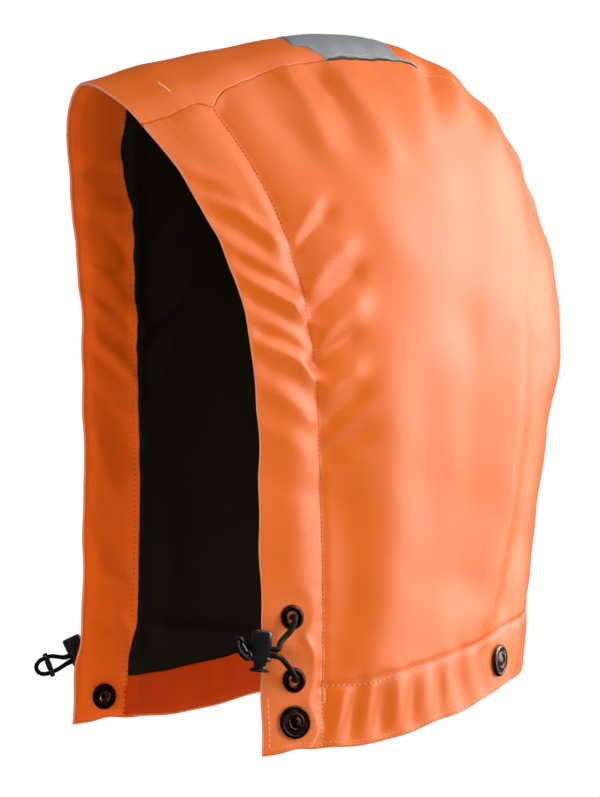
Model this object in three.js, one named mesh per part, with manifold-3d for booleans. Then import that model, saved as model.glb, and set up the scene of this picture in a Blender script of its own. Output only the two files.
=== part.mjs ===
// Detachable rain hood, three panels, lined, with a drawcord on each side.
// Millimetres, +Z up. The face opening looks along -Y and +X is the wearer's
// left. The origin is the inside of the lining at the crown.
import * as THREE from 'three';
import Module from 'manifold-3d';

const wasm = await Module();
wasm.setup();

// ------------------------------------------------------------------ sizes
// Hood form: a closed outline in side view, and a width that falls to the rim
// of that outline as 1 - rho^SIDE_POWER.
const CENTRE_Y = -37.4;
const CENTRE_Z = -198.6;
const HALF_WIDTH = 102.3;
const SIDE_POWER = 2.29;
const WIDTH_POWER = 1.64;
const MIDDLE_ROUND = 10;        // rounds the form where it crosses the middle
const FRONT_TAPER = -0.054;
const LOWER_FLARE = 0.118;

// Side outline, radius from the centre at each angle (0 = back, 90 = up).
const OUTLINE = [
  { angle: -120, radius: 498 }, { angle: -90, radius: 410 }, { angle: -60, radius: 234 },
  { angle: -30, radius: 161 }, { angle: 0, radius: 154 }, { angle: 30, radius: 180 },
  { angle: 60, radius: 211.4 }, { angle: 90, radius: 197.7 }, { angle: 120, radius: 199 },
  { angle: 150, radius: 260 }, { angle: 180, radius: 333 }, { angle: 210, radius: 436 },
];

// Face opening: the front edge and the inner edge of the
// facing, each as y at a height z.
const FRONT = [
  { z: -344.2, edge: -85.7, facing: -56.5 }, { z: -274.2, edge: -83.9, facing: -54.5 },
  { z: -204.2, edge: -84.0, facing: -54.6 }, { z: -134.2, edge: -88.0, facing: -59.0 },
  { z: -84.2, edge: -100.8, facing: -69.0 }, { z: -34.2, edge: -122.3, facing: -87.5 },
];

// Lower hem, as z at a depth y.
const HEM = [
  { y: -85, z: -333.8 }, { y: -15, z: -326.2 }, { y: 55, z: -309.4 }, { y: 125, z: -293.2 },
];

// Half-width of the centre panel at each angle of the side outline.
const CENTRE_PANEL = [
  { angle: -40, half: 34 }, { angle: 10, half: 29 }, { angle: 35, half: 26 },
  { angle: 55, half: 25 }, { angle: 68, half: 28.5 }, { angle: 80, half: 34 },
  { angle: 92, half: 34.5 }, { angle: 105, half: 42.5 }, { angle: 120, half: 44.8 },
];
const CORNER_ANGLE = 52;        // where the top of a side panel turns into its back

// Cloth layers, as depths below the outer face.
const SHELL = 1.2;
const LINING_OUTER = 2.2;
const LINING_INNER = 3.2;
const EDGE_DEPTH = 2.4;         // thickness of the turned-over front edge and hem
const TUNNEL_SLACK = 0.8;       // how far the facing stands off inside the tunnel
const EDGE_CLEAR = 3.0;         // from the edge to where the inner strips begin
const SEAM_GAP = 0.15;
const HEM_FACING = 25;

// Reflective tape on the crown, between two angles of the side outline.
const TAPE = { from: 87.3, to: 73.0, clear: 0.4, thickness: 0.8, inset: 1.0 };

// Folds: a soft ridge (height > 0) or valley (height < 0) along a line in side
// view. side 1 is the wearer's left, -1 the right.
const FOLDS = [
  { side: 1, y1: -36, z1: -18, y2: -26, z2: -52, width: 7.5, height: 2.2 },
  { side: 1, y1: -13, z1: -22, y2: -15, z2: -54, width: 7.5, height: -2.0 },
  { side: 1, y1: -55, z1: -131, y2: -28, z2: -106, width: 7.0, height: 1.8 },
  { side: 1, y1: -88, z1: -124, y2: -60, z2: -144, width: 7.0, height: 1.6 },
  { side: 1, y1: 29, z1: -141, y2: 24, z2: -253, width: 9.5, height: -1.8 },
  { side: 1, y1: 60, z1: -141, y2: 40, z2: -272, width: 9.0, height: 2.4 },
  { side: 1, y1: 80, z1: -155, y2: 59, z2: -268, width: 9.0, height: -2.0 },
  { side: -1, y1: -34, z1: -20, y2: -22, z2: -52, width: 7.5, height: 2.0 },
  { side: -1, y1: -55, z1: -124, y2: -28, z2: -102, width: 7.0, height: 1.6 },
  { side: -1, y1: -92, z1: -122, y2: -62, z2: -136, width: 7.0, height: -1.8 },
  { side: -1, y1: 32, z1: -150, y2: 25, z2: -258, width: 9.5, height: -1.8 },
  { side: -1, y1: 62, z1: -138, y2: 46, z2: -262, width: 9.0, height: 2.2 },
];

// Metal fittings: eyelets for the cord, and press studs.
const EYELETS = [
  { name: 'eyelet_left_upper', side: 1, y: -69.0, z: -271.4 },
  { name: 'eyelet_left_lower', side: 1, y: -68.8, z: -299.9 },
  { name: 'eyelet_right_upper', side: -1, y: -69.0, z: -271.4 },
  { name: 'eyelet_right_lower', side: -1, y: -68.8, z: -299.9 },
];
const EYELET = { hole: 2.9, barrel: 3.4, flange: 5.75, washer: 4.9, cut: 3.8 };
const STUDS = [
  { name: 'front_left', side: 1, y: -69.1, z: -318.9, under: LINING_INNER + TUNNEL_SLACK },
  { name: 'front_right', side: -1, y: -72.2, z: -319.9, under: LINING_INNER + TUNNEL_SLACK },
  { name: 'hem_left', side: 1, y: 52.9, z: -295.9, under: LINING_INNER },
  { name: 'hem_right', side: -1, y: 52.9, z: -295.9, under: LINING_INNER },
];
const STUD = { cap: 7.6, post: 1.5, cut: 1.95, socket: 6.4, socketHole: 1.9, socketHeight: 1.9 };

// Drawcord and cord lock. pass is the way the cord runs through the lock,
// axis the long axis of its barrel; bar runs along the cord stop and loop is
// the way the end loop points.
const CORD_RADIUS = 1.25;
const CORD_PITCH = 2.9;         // between the two strands inside the lock
const LOCKS = [
  {
    name: 'left', side: 1, centre: [111.9, -87.9, -283.65],
    axis: [0.038, 0.084, 0.996], pass: [-0.346, -0.934, 0.089],
    stop: [116.6, -99.2, -284.15], bar: [-0.223, -0.451, 0.864], loop: [0.751, -0.645, -0.142],
    bends: [
      [[109.2, -69.6, -270.95], [110.9, -72.2, -276.55], [111.9, -78, -281.75]],
      [[111.9, -77.6, -289.75], [111.4, -73.4, -294.15], [110.4, -70, -299.15]],
    ],
  },
  {
    name: 'right', side: -1, centre: [-111.8, -82.9, -297.55],
    axis: [-0.188, -0.379, 0.906], pass: [-0.240, -0.890, -0.390],
    stop: [-112.4, -97.4, -304.55], bar: [-0.159, -0.32, 0.934], loop: [-0.409, -0.84, -0.357],
    bends: [
      [[-109.2, -69.4, -271.95], [-111.2, -68.9, -278.95], [-111.8, -71.2, -286.95]],
      [[-112.6, -71.4, -295.85], [-112, -68, -298.35], [-110.3, -67.8, -299.75]],
    ],
  },
];
const BARREL = { long: 4.6, bore: 3.65, rod: 3.2, oval: 0.8, half: 7, wall: 2, slotMid: -2.5, slotTall: 6.0, slotWide: 3.1 };
const TRAVEL = 2.0;             // how far the plunger can be pressed in
const STOP = { spread: 3.8, ring: 2.3, hole: 1.6, thick: 2.2, bar: 2.2 };

const COLOUR = {
  shell: 0xf0702a, facing: 0xd9561a, lining: 0x16150c, tape: 0x96989d,
  metal: 0x3a2019, plastic: 0x111315, cord: 0x0c0c0d,
};

// ---------------------------------------------------------------- splines
function solve(matrix, rhs) {
  const n = rhs.length;
  const a = matrix.map((row, i) => [...row, rhs[i]]);
  for (let c = 0; c < n; c++) {
    let best = c;
    for (let r = c + 1; r < n; r++) if (Math.abs(a[r][c]) > Math.abs(a[best][c])) best = r;
    [a[c], a[best]] = [a[best], a[c]];
    for (let r = 0; r < n; r++) {
      if (r === c) continue;
      const k = a[r][c] / a[c][c];
      for (let j = c; j <= n; j++) a[r][j] -= k * a[c][j];
    }
  }
  return a.map((row, i) => row[n] / row[i]);
}

function naturalSpline(xs, ys) {
  const n = xs.length;
  const m = Array.from({ length: n }, () => new Array(n).fill(0));
  const rhs = new Array(n).fill(0);
  m[0][0] = 1;
  m[n - 1][n - 1] = 1;
  for (let i = 1; i < n - 1; i++) {
    const h0 = xs[i] - xs[i - 1];
    const h1 = xs[i + 1] - xs[i];
    m[i][i - 1] = h0;
    m[i][i] = 2 * (h0 + h1);
    m[i][i + 1] = h1;
    rhs[i] = 6 * ((ys[i + 1] - ys[i]) / h1 - (ys[i] - ys[i - 1]) / h0);
  }
  const s = solve(m, rhs);
  const slope = (i, x) => {
    const h = xs[i + 1] - xs[i];
    return (ys[i + 1] - ys[i]) / h - h * (2 * s[i] + s[i + 1]) / 6
      + s[i] * (x - xs[i]) + (s[i + 1] - s[i]) * (x - xs[i]) ** 2 / (2 * h);
  };
  return (x) => {
    if (x <= xs[0]) return ys[0] + slope(0, xs[0]) * (x - xs[0]);
    if (x >= xs[n - 1]) return ys[n - 1] + slope(n - 2, xs[n - 1]) * (x - xs[n - 1]);
    let i = 0;
    while (x > xs[i + 1]) i++;
    const h = xs[i + 1] - xs[i];
    const a = (xs[i + 1] - x) / h;
    const b = (x - xs[i]) / h;
    return a * ys[i] + b * ys[i + 1] + ((a ** 3 - a) * s[i] + (b ** 3 - b) * s[i + 1]) * h * h / 6;
  };
}

function periodicSpline(start, step, ys) {
  const n = ys.length;
  const m = Array.from({ length: n }, () => new Array(n).fill(0));
  const rhs = new Array(n).fill(0);
  for (let i = 0; i < n; i++) {
    const p = (i + n - 1) % n;
    const q = (i + 1) % n;
    m[i][p] += 1;
    m[i][i] += 4;
    m[i][q] += 1;
    rhs[i] = 6 * (ys[q] - 2 * ys[i] + ys[p]) / (step * step);
  }
  const s = solve(m, rhs);
  return (x) => {
    const t = (((x - start) / step) % n + n) % n;
    const i = Math.floor(t) % n;
    const q = (i + 1) % n;
    const b = t - Math.floor(t);
    const a = 1 - b;
    return a * ys[i] + b * ys[q] + ((a ** 3 - a) * s[i] + (b ** 3 - b) * s[q]) * step * step / 6;
  };
}

const RAD = Math.PI / 180;
const outlineRadius = periodicSpline(OUTLINE[0].angle * RAD, 30 * RAD, OUTLINE.map((r) => r.radius));
const edgeAt = naturalSpline(FRONT.map((r) => r.z), FRONT.map((r) => r.edge));
const facingAt = naturalSpline(FRONT.map((r) => r.z), FRONT.map((r) => r.facing));
const hemAt = naturalSpline(HEM.map((r) => r.y), HEM.map((r) => r.z));
const halfAt = naturalSpline(CENTRE_PANEL.map((r) => r.angle * RAD), CENTRE_PANEL.map((r) => r.half));

function bisect(f, a, b) {
  const rising = f(b) > f(a);
  for (let i = 0; i < 48; i++) {
    const m = (a + b) / 2;
    if ((f(m) > 0) === rising) b = m; else a = m;
  }
  return (a + b) / 2;
}

// ---------------------------------------------------------- hood surface
function widthScale(y, z) {
  const front = Math.min(Math.max(-(y - CENTRE_Y) / 100, 0), 2);
  const low = Math.min(Math.max(-(z - CENTRE_Z) / 150, 0), 2);
  return HALF_WIDTH * (1 + FRONT_TAPER * front * front + LOWER_FLARE * low * low);
}
function rho(y, z) {
  const angle = Math.atan2(z - CENTRE_Z, y - CENTRE_Y);
  return Math.hypot(y - CENTRE_Y, z - CENTRE_Z) / outlineRadius(angle);
}
// below 0 inside the hood, 0 on its outer face
function level(x, y, z) {
  const w = widthScale(y, z);
  return rho(y, z) ** SIDE_POWER + (Math.hypot(x, MIDDLE_ROUND) / w) ** WIDTH_POWER
    - (MIDDLE_ROUND / w) ** WIDTH_POWER - 1;
}
function gradient(x, y, z) {
  const h = 0.02;
  return [
    (level(x + h, y, z) - level(x - h, y, z)) / (2 * h),
    (level(x, y + h, z) - level(x, y - h, z)) / (2 * h),
    (level(x, y, z + h) - level(x, y, z - h)) / (2 * h),
  ];
}
function normalAt(p) {
  const g = gradient(p[0], p[1], p[2]);
  const l = Math.hypot(g[0], g[1], g[2]);
  return [g[0] / l, g[1] / l, g[2] / l];
}
function surfaceX(y, z) {
  const w = widthScale(y, z);
  const share = 1 - rho(y, z) ** SIDE_POWER + (MIDDLE_ROUND / w) ** WIDTH_POWER;
  return Math.sqrt(Math.max((w * Math.max(share, 0) ** (1 / WIDTH_POWER)) ** 2 - MIDDLE_ROUND ** 2, 0));
}
// the point of the surface at a half-width x on a ray of the side outline
function onRay(x, angle) {
  const cy = Math.cos(angle);
  const cz = Math.sin(angle);
  const top = outlineRadius(angle);
  const r = bisect((d) => level(x, CENTRE_Y + d * cy, CENTRE_Z + d * cz), top * 0.4, top * 1.02);
  return [x, CENTRE_Y + r * cy, CENTRE_Z + r * cz];
}
function ontoSurface(p) {
  let q = [...p];
  for (let i = 0; i < 8; i++) {
    const f = level(q[0], q[1], q[2]);
    const g = gradient(q[0], q[1], q[2]);
    const k = f / (g[0] ** 2 + g[1] ** 2 + g[2] ** 2);
    q = q.map((v, j) => v - k * g[j]);
  }
  return q;
}

// ------------------------------------------------------------------ folds
const fittings = [...EYELETS, ...STUDS];
function flatNearFittings(p) {
  let keep = 1;
  for (const f of fittings) {
    if (f.side * p[0] < 0) continue;
    const d = Math.hypot(p[1] - f.y, p[2] - f.z);
    keep *= THREE.MathUtils.smoothstep(d, 9, 18);
  }
  return keep;
}
// under is for the inner cloth, which keeps clear of the valleys and does not
// fill the ridges
function foldHeight(p, under = false) {
  let sum = 0;
  for (const f of FOLDS) {
    if (f.side * p[0] <= 0 || (under && f.height > 0)) continue;
    const width = f.width * (under ? 1.6 : 1);
    const dy = f.y2 - f.y1;
    const dz = f.z2 - f.z1;
    const length = Math.hypot(dy, dz);
    const along = ((p[1] - f.y1) * dy + (p[2] - f.z1) * dz) / length;
    const across = ((p[1] - f.y1) * dz - (p[2] - f.z1) * dy) / length;
    const beyond = Math.max(-along, along - length, 0);
    sum += f.height * (under ? 1.15 : 1)
      * Math.exp(-0.5 * (across / width) ** 2 - 0.5 * (beyond / (width * 1.4)) ** 2);
  }
  const nearMiddle = THREE.MathUtils.smoothstep(Math.abs(p[0]), 22, 40);
  return sum * nearMiddle * flatNearFittings(p);
}

// ------------------------------------------------------------- cloth mesh
// A sheet is gathered from grids of base points, and thickened along the
// surface normals between two depths.
class Sheet {
  constructor(under = false) {
    this.under = under;
    this.points = [];
    this.depths = [];
    this.triangles = [];
    this.index = new Map();
  }
  vertex(p, depths) {
    const key = p.map((v) => Math.round(v * 2000)).join(',');
    if (!this.index.has(key)) {
      this.index.set(key, this.points.length);
      this.points.push(p);
      this.depths.push(depths);
    }
    return this.index.get(key);
  }
  grid(rows, depthOf) {
    const ids = rows.map((row, i) => row.map((p, j) => this.vertex(p, depthOf(i, j, p))));
    for (let i = 0; i + 1 < ids.length; i++) {
      for (let j = 0; j + 1 < ids[i].length; j++) {
        const a = ids[i][j];
        const b = ids[i + 1][j];
        const c = ids[i + 1][j + 1];
        const d = ids[i][j + 1];
        this.face(a, b, c);
        this.face(a, c, d);
      }
    }
  }
  face(a, b, c) {
    if (a === b || b === c || a === c) return;
    const [p, q, r] = [a, b, c].map((i) => new THREE.Vector3(...this.points[i]));
    const cross = q.clone().sub(p).cross(r.clone().sub(p));
    const mid = p.clone().add(q).add(r).divideScalar(3);
    const out = new THREE.Vector3(...normalAt(mid.toArray()));
    this.triangles.push(cross.dot(out) > 0 ? [a, b, c] : [a, c, b]);
  }
  solid() {
    const outer = [];
    const inner = [];
    this.points.forEach((p, i) => {
      const n = normalAt(p);
      const lift = foldHeight(p, this.under);
      const [top, bottom] = this.depths[i];
      outer.push(...p.map((v, k) => v + n[k] * (lift - top)));
      inner.push(...p.map((v, k) => v + n[k] * (lift - bottom)));
    });
    const count = this.points.length;
    const index = [];
    const seen = new Map();
    for (const [a, b, c] of this.triangles) {
      index.push(a, b, c, a + count, c + count, b + count);
      for (const [s, t] of [[a, b], [b, c], [c, a]]) {
        const back = `${t},${s}`;
        if (seen.has(back)) seen.delete(back); else seen.set(`${s},${t}`, [s, t]);
      }
    }
    for (const [s, t] of seen.values()) index.push(s, s + count, t + count, s, t + count, t);
    const geometry = new THREE.BufferGeometry();
    geometry.setAttribute('position', new THREE.Float32BufferAttribute([...outer, ...inner], 3));
    geometry.setIndex(index);
    return geometry;
  }
}

const steps = (n, from = 0, to = 1) => Array.from({ length: n + 1 }, (_, i) => from + (to - from) * i / n);

// Angles of the side outline where a line of constant share w of the centre
// panel's half-width meets the front boundary and the hem.
function panelEnds(w, front, hem, inset) {
  const share = (angle) => w * (halfAt(angle) - inset);
  const start = bisect((a) => {
    const p = onRay(share(a), a);
    return p[1] - front(p[2]);
  }, 60 * RAD, 128 * RAD);
  const end = bisect((a) => {
    const p = onRay(share(a), a);
    return p[2] - hem(p[1]);
  }, -60 * RAD, 5 * RAD);
  return { share, start, end, corner: CORNER_ANGLE * RAD };
}

// Side panel: a four-sided patch in side view between the front boundary, the
// seam over the top, the seam down the back and the hem.
function sidePatch(side, front, hem, inset, us, vs) {
  const { share, start, end, corner } = panelEnds(1, front, hem, inset);
  const flat = (p) => [p[1], p[2]];
  const top = (u) => flat(onRay(share(start + (corner - start) * u), start + (corner - start) * u));
  const back = (v) => flat(onRay(share(end + (corner - end) * v), end + (corner - end) * v));
  const highest = top(0)[1];
  let low = hem(front(-330));
  for (let i = 0; i < 20; i++) low = hem(front(low));
  const left = (v) => {
    const z = low + (highest - low) * v;
    return [front(z), z];
  };
  const first = left(0)[0];
  const last = back(0)[0];
  const bottom = (u) => {
    const y = first + (last - first) * u;
    return [y, hem(y)];
  };
  const corners = { a: left(0), b: back(0), c: top(0), d: top(1) };
  return us.map((u) => vs.map((v) => {
    const [y, z] = [0, 1].map((k) => (1 - v) * bottom(u)[k] + v * top(u)[k]
      + (1 - u) * left(v)[k] + u * back(v)[k]
      - (1 - u) * (1 - v) * corners.a[k] - u * (1 - v) * corners.b[k]
      - (1 - u) * v * corners.c[k] - u * v * corners.d[k]);
    if (v === 1) return onSeam(side, share, start + (corner - start) * u);
    if (u === 1) return onSeam(side, share, end + (corner - end) * v);
    return [side * surfaceX(y, z), y, z];
  }));
}
function onSeam(side, share, angle) {
  const p = onRay(share(angle), angle);
  return [side * p[0], p[1], p[2]];
}

// Centre panel: rows follow the seams, over the top and down the back.
function centrePatch(front, hem, inset, us, vs, ws) {
  return ws.map((w) => {
    const { share, start, end, corner } = panelEnds(Math.abs(w), front, hem, inset);
    const angles = us.map((u) => start + (corner - start) * u)
      .concat([...vs].reverse().slice(1).map((v) => end + (corner - end) * v));
    return angles.map((angle) => onSeam(Math.sign(w) || 1, share, angle));
  });
}

// ----------------------------------------------- strips around the openings
function resample(points, n) {
  const at = [0];
  for (let i = 1; i < points.length; i++) {
    at.push(at[i - 1] + Math.hypot(...points[i].map((v, k) => v - points[i - 1][k])));
  }
  const total = at[at.length - 1];
  return steps(n).map((t) => {
    const d = t * total;
    let i = 1;
    while (i < points.length - 1 && at[i] < d) i++;
    const f = (d - at[i - 1]) / (at[i] - at[i - 1]);
    return points[i - 1].map((v, k) => v + (points[i][k] - v) * f);
  });
}
// a curve round the face opening, from the right hem over the top to the left
function archCurve(front, hem, n) {
  const midZ = -145;
  const point = (t) => {
    const r = bisect((d) => level(d * Math.sin(t), front(midZ + d * Math.cos(t)), midZ + d * Math.cos(t)), 20, 260);
    const z = midZ + r * Math.cos(t);
    return [r * Math.sin(t), front(z), z];
  };
  const last = bisect((t) => {
    const p = point(t);
    return p[2] - hem(p[1]);
  }, 110 * RAD, 170 * RAD);
  return resample(steps(400, -last, last).map(point), n);
}
// a curve round the neck, from the right front to the left
function neckCurve(rise, limit, n) {
  const point = (t) => {
    const r = bisect((d) => level(d * Math.sin(t), d * Math.cos(t), hemAt(d * Math.cos(t)) + rise), 20, 220);
    const y = r * Math.cos(t);
    return [r * Math.sin(t), y, hemAt(y) + rise];
  };
  const last = bisect((t) => {
    const p = point(t);
    return p[1] - limit(p[2]);
  }, 40 * RAD, 160 * RAD);
  return resample(steps(400, -last, last).map(point), n);
}
function strip(outerCurve, innerCurve, across) {
  return outerCurve.map((p, i) => across.map((c) => ontoSurface(p.map((v, k) => v + (innerCurve[i][k] - v) * c))));
}

// ------------------------------------------------------ solids and cutting
function weld(geometry) {
  const pos = geometry.getAttribute('position');
  const idx = geometry.getIndex();
  const count = idx ? idx.count : pos.count;
  const index = new Map();
  const verts = [];
  const tris = [];
  for (let i = 0; i + 2 < count; i += 3) {
    const ids = [0, 1, 2].map((k) => {
      const v = idx ? idx.getX(i + k) : i + k;
      const p = [pos.getX(v), pos.getY(v), pos.getZ(v)];
      const key = p.map((c) => Math.round(c * 1e4)).join(',');
      if (!index.has(key)) {
        index.set(key, verts.length / 3);
        verts.push(...p);
      }
      return index.get(key);
    });
    if (ids[0] !== ids[1] && ids[1] !== ids[2] && ids[0] !== ids[2]) tris.push(...ids);
  }
  // faces point outwards when the signed volume is positive
  let volume = 0;
  const at = (i) => verts.slice(3 * i, 3 * i + 3);
  for (let i = 0; i < tris.length; i += 3) {
    const [a, b, c] = [at(tris[i]), at(tris[i + 1]), at(tris[i + 2])];
    volume += a[0] * (b[1] * c[2] - b[2] * c[1]) - a[1] * (b[0] * c[2] - b[2] * c[0]) + a[2] * (b[0] * c[1] - b[1] * c[0]);
  }
  if (volume < 0) for (let i = 0; i < tris.length; i += 3) [tris[i], tris[i + 1]] = [tris[i + 1], tris[i]];
  return { verts, tris };
}
function toManifold(geometry) {
  const { verts, tris } = weld(geometry);
  return new wasm.Manifold(new wasm.Mesh({
    numProp: 3, vertProperties: new Float32Array(verts), triVerts: new Uint32Array(tris),
  }));
}
function fromManifold(solid) {
  const mesh = solid.getMesh();
  const out = [];
  for (let i = 0; i < mesh.vertProperties.length; i += mesh.numProp) {
    out.push(mesh.vertProperties[i], mesh.vertProperties[i + 1], mesh.vertProperties[i + 2]);
  }
  const geometry = new THREE.BufferGeometry();
  geometry.setAttribute('position', new THREE.Float32BufferAttribute(out, 3));
  geometry.setIndex(Array.from(mesh.triVerts));
  return geometry;
}
const cutFrom = (geometry, cutters) => fromManifold(
  cutters.reduce((solid, c) => solid.subtract(toManifold(c)), toManifold(geometry)));
const joined = (list) => fromManifold(list.map(toManifold).reduce((a, b) => a.add(b)));

// a frame on the surface with its Y axis along the outward normal
function surfaceFrame(side, y, z) {
  const p = [side * surfaceX(y, z), y, z];
  const n = new THREE.Vector3(...normalAt(p));
  const turn = new THREE.Quaternion().setFromUnitVectors(new THREE.Vector3(0, 1, 0), n);
  return new THREE.Matrix4().compose(new THREE.Vector3(...p), turn, new THREE.Vector3(1, 1, 1));
}
function frameFrom(centre, x, y) {
  const vy = new THREE.Vector3(...y).normalize();
  const vz = new THREE.Vector3(...x).cross(vy).normalize();
  const vx = vy.clone().cross(vz).normalize();
  return new THREE.Matrix4().makeBasis(vx, vy, vz).setPosition(...centre);
}
const placed = (geometry, matrix) => geometry.clone().applyMatrix4(matrix);
const turned = (profile, segments) => new THREE.LatheGeometry(profile.map(([r, h]) => new THREE.Vector2(r, h)), segments);
const rod = (radius, low, high, segments = 20) => turned([[0, low], [radius, low], [radius, high], [0, high]], segments);

// ------------------------------------------------------------ scene graph
const group = new THREE.Group();
const materials = {
  shell: { color: COLOUR.shell, roughness: 0.75, metalness: 0 },
  facing: { color: COLOUR.facing, roughness: 0.75, metalness: 0 },
  lining: { color: COLOUR.lining, roughness: 0.8, metalness: 0 },
  tape: { color: COLOUR.tape, roughness: 0.4, metalness: 0.2 },
  metal: { color: COLOUR.metal, roughness: 0.35, metalness: 0.9 },
  plastic: { color: COLOUR.plastic, roughness: 0.25, metalness: 0 },
  cord: { color: COLOUR.cord, roughness: 0.7, metalness: 0 },
};
function addPiece(name, geometry, finish, matrix) {
  const { verts, tris } = weld(geometry);
  const clean = new THREE.BufferGeometry();
  clean.setAttribute('position', new THREE.Float32BufferAttribute(verts, 3));
  clean.setIndex(tris);
  clean.computeVertexNormals();
  const mesh = new THREE.Mesh(clean, new THREE.MeshStandardMaterial(materials[finish]));
  mesh.name = name;
  if (matrix) matrix.decompose(mesh.position, mesh.quaternion, mesh.scale);
  group.add(mesh);
  return mesh;
}

// ------------------------------------------------------------------ shell
const U_LIP = [0, 0.0095, 0.011];
const V_LIP = [0, 0.0066, 0.0076];
const US = [...U_LIP, ...steps(12, 0.011, 1).slice(1)];
const VS = [...V_LIP, ...steps(16, 0.0076, 1).slice(1)];
const WS = steps(6, -1, 1);
const shellDepths = (lip) => (lip ? [0, EDGE_DEPTH] : [0, SHELL]);

const cutAt = (f, radius) => placed(rod(radius, -9, 6, 20), surfaceFrame(f.side, f.y, f.z));
for (const side of [1, -1]) {
  const sheet = new Sheet();
  sheet.grid(sidePatch(side, edgeAt, hemAt, SEAM_GAP, US, VS), (i, j) => shellDepths(i < 2 || j < 2));
  const holes = [
    ...EYELETS.filter((e) => e.side === side).map((e) => cutAt(e, EYELET.cut)),
    ...STUDS.filter((s) => s.side === side).map((s) => cutAt(s, STUD.cut)),
  ];
  addPiece(side > 0 ? 'side_panel_left' : 'side_panel_right', cutFrom(sheet.solid(), holes), 'shell');
}
{
  const sheet = new Sheet();
  const count = US.length + VS.length - 1;
  sheet.grid(centrePatch(edgeAt, hemAt, 3 * SEAM_GAP, US, VS, WS),
    (i, j) => shellDepths(j < 2 || j > count - 3));
  addPiece('centre_panel', sheet.solid(), 'shell');
}

// --------------------------------------------------------- inner cloth
{
  const sheet = new Sheet(true);
  const front = (z) => edgeAt(z) + EDGE_CLEAR;
  const inner = (z) => facingAt(z) - SEAM_GAP;
  const hem = (y) => hemAt(y) + EDGE_CLEAR;
  const across = steps(5);
  const slack = (c) => TUNNEL_SLACK * Math.sin(Math.PI * c);
  sheet.grid(strip(archCurve(front, hem, 48), archCurve(inner, hem, 48), across),
    (i, j) => [LINING_OUTER + slack(across[j]), LINING_INNER + slack(across[j])]);
  addPiece('face_facing', cutFrom(sheet.solid(), STUDS.slice(0, 2).map((s) => cutAt(s, STUD.cut))), 'facing');
}
{
  const sheet = new Sheet(true);
  const limit = (z) => facingAt(z) + SEAM_GAP;
  sheet.grid(strip(neckCurve(EDGE_CLEAR, limit, 36), neckCurve(HEM_FACING - SEAM_GAP, limit, 36), steps(3)),
    () => [LINING_OUTER, LINING_INNER]);
  addPiece('hem_facing', cutFrom(sheet.solid(), STUDS.slice(2).map((s) => cutAt(s, STUD.cut))), 'facing');
}
{
  const sheet = new Sheet(true);
  const front = (z) => facingAt(z) + SEAM_GAP;
  const hem = (y) => hemAt(y) + HEM_FACING + SEAM_GAP;
  const us = steps(11);
  const vs = steps(14);
  for (const side of [1, -1]) sheet.grid(sidePatch(side, front, hem, 0, us, vs), () => [LINING_OUTER, LINING_INNER]);
  sheet.grid(centrePatch(front, hem, 0, us, vs, steps(6, -1, 1)), () => [LINING_OUTER, LINING_INNER]);
  addPiece('lining', sheet.solid(), 'lining');
}

// ------------------------------------------------------------------- tape
{
  const sheet = new Sheet();
  const rows = WS.map((w) => steps(8, TAPE.from * RAD, TAPE.to * RAD)
    .map((a) => onSeam(Math.sign(w) || 1, (t) => Math.abs(w) * (halfAt(t) - TAPE.inset), a)));
  sheet.grid(rows, () => [-TAPE.clear - TAPE.thickness, -TAPE.clear]);
  addPiece('reflective_tape', sheet.solid(), 'tape');
}

// --------------------------------------------------------------- fittings
for (const e of EYELETS) {
  const { hole, barrel, flange, washer } = EYELET;
  const profile = [
    [hole, -1.9], [hole, 0.9], [hole + 0.5, 1.5], [4.4, 1.75], [flange - 0.4, 1.2], [flange, 0.6],
    [flange - 0.15, 0.35], [barrel, 0.35], [barrel, -1.55], [washer, -1.55], [washer, -2.1],
    [hole + 0.2, -2.1], [hole, -1.9],
  ];
  addPiece(e.name, turned(profile, 20), 'metal', surfaceFrame(e.side, e.y, e.z));
}
for (const s of STUDS) {
  const at = surfaceFrame(s.side, s.y, s.z);
  const floor = -s.under - 0.6;
  const cap = [
    [0, floor - 1.2], [STUD.post, floor - 1.2], [STUD.post, 0.35], [STUD.cap - 0.5, 0.35], [STUD.cap, 0.7],
    [STUD.cap, 1.3], [STUD.cap - 0.6, 2.0], [5.9, 2.1], [5.4, 1.6], [4.7, 1.6], [4.2, 2.2], [2.4, 2.3],
    [1.8, 1.7], [0, 1.7],
  ];
  addPiece(`stud_cap_${s.name}`, turned(cap, 24), 'metal', at);
  const socket = [
    [STUD.socketHole, floor], [STUD.socket - 0.4, floor], [STUD.socket, floor - 0.5],
    [STUD.socket, floor - 1.1], [STUD.socket - 0.8, floor - STUD.socketHeight],
    [3.2, floor - STUD.socketHeight], [2.8, floor - 1.4], [STUD.socketHole, floor - 1.4],
    [STUD.socketHole, floor],
  ];
  addPiece(`stud_socket_${s.name}`, turned(socket, 24), 'metal', at);
}

// ----------------------------------------------- cord, lock and cord stop
class CordRoute extends THREE.Curve {
  constructor(points) {
    super();
    this.line = new THREE.CatmullRomCurve3(points, false, 'centripetal');
  }
  getPoint(t, target = new THREE.Vector3()) {
    return target.copy(this.line.getPointAt(THREE.MathUtils.clamp(t, 0, 1)));
  }
}

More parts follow.
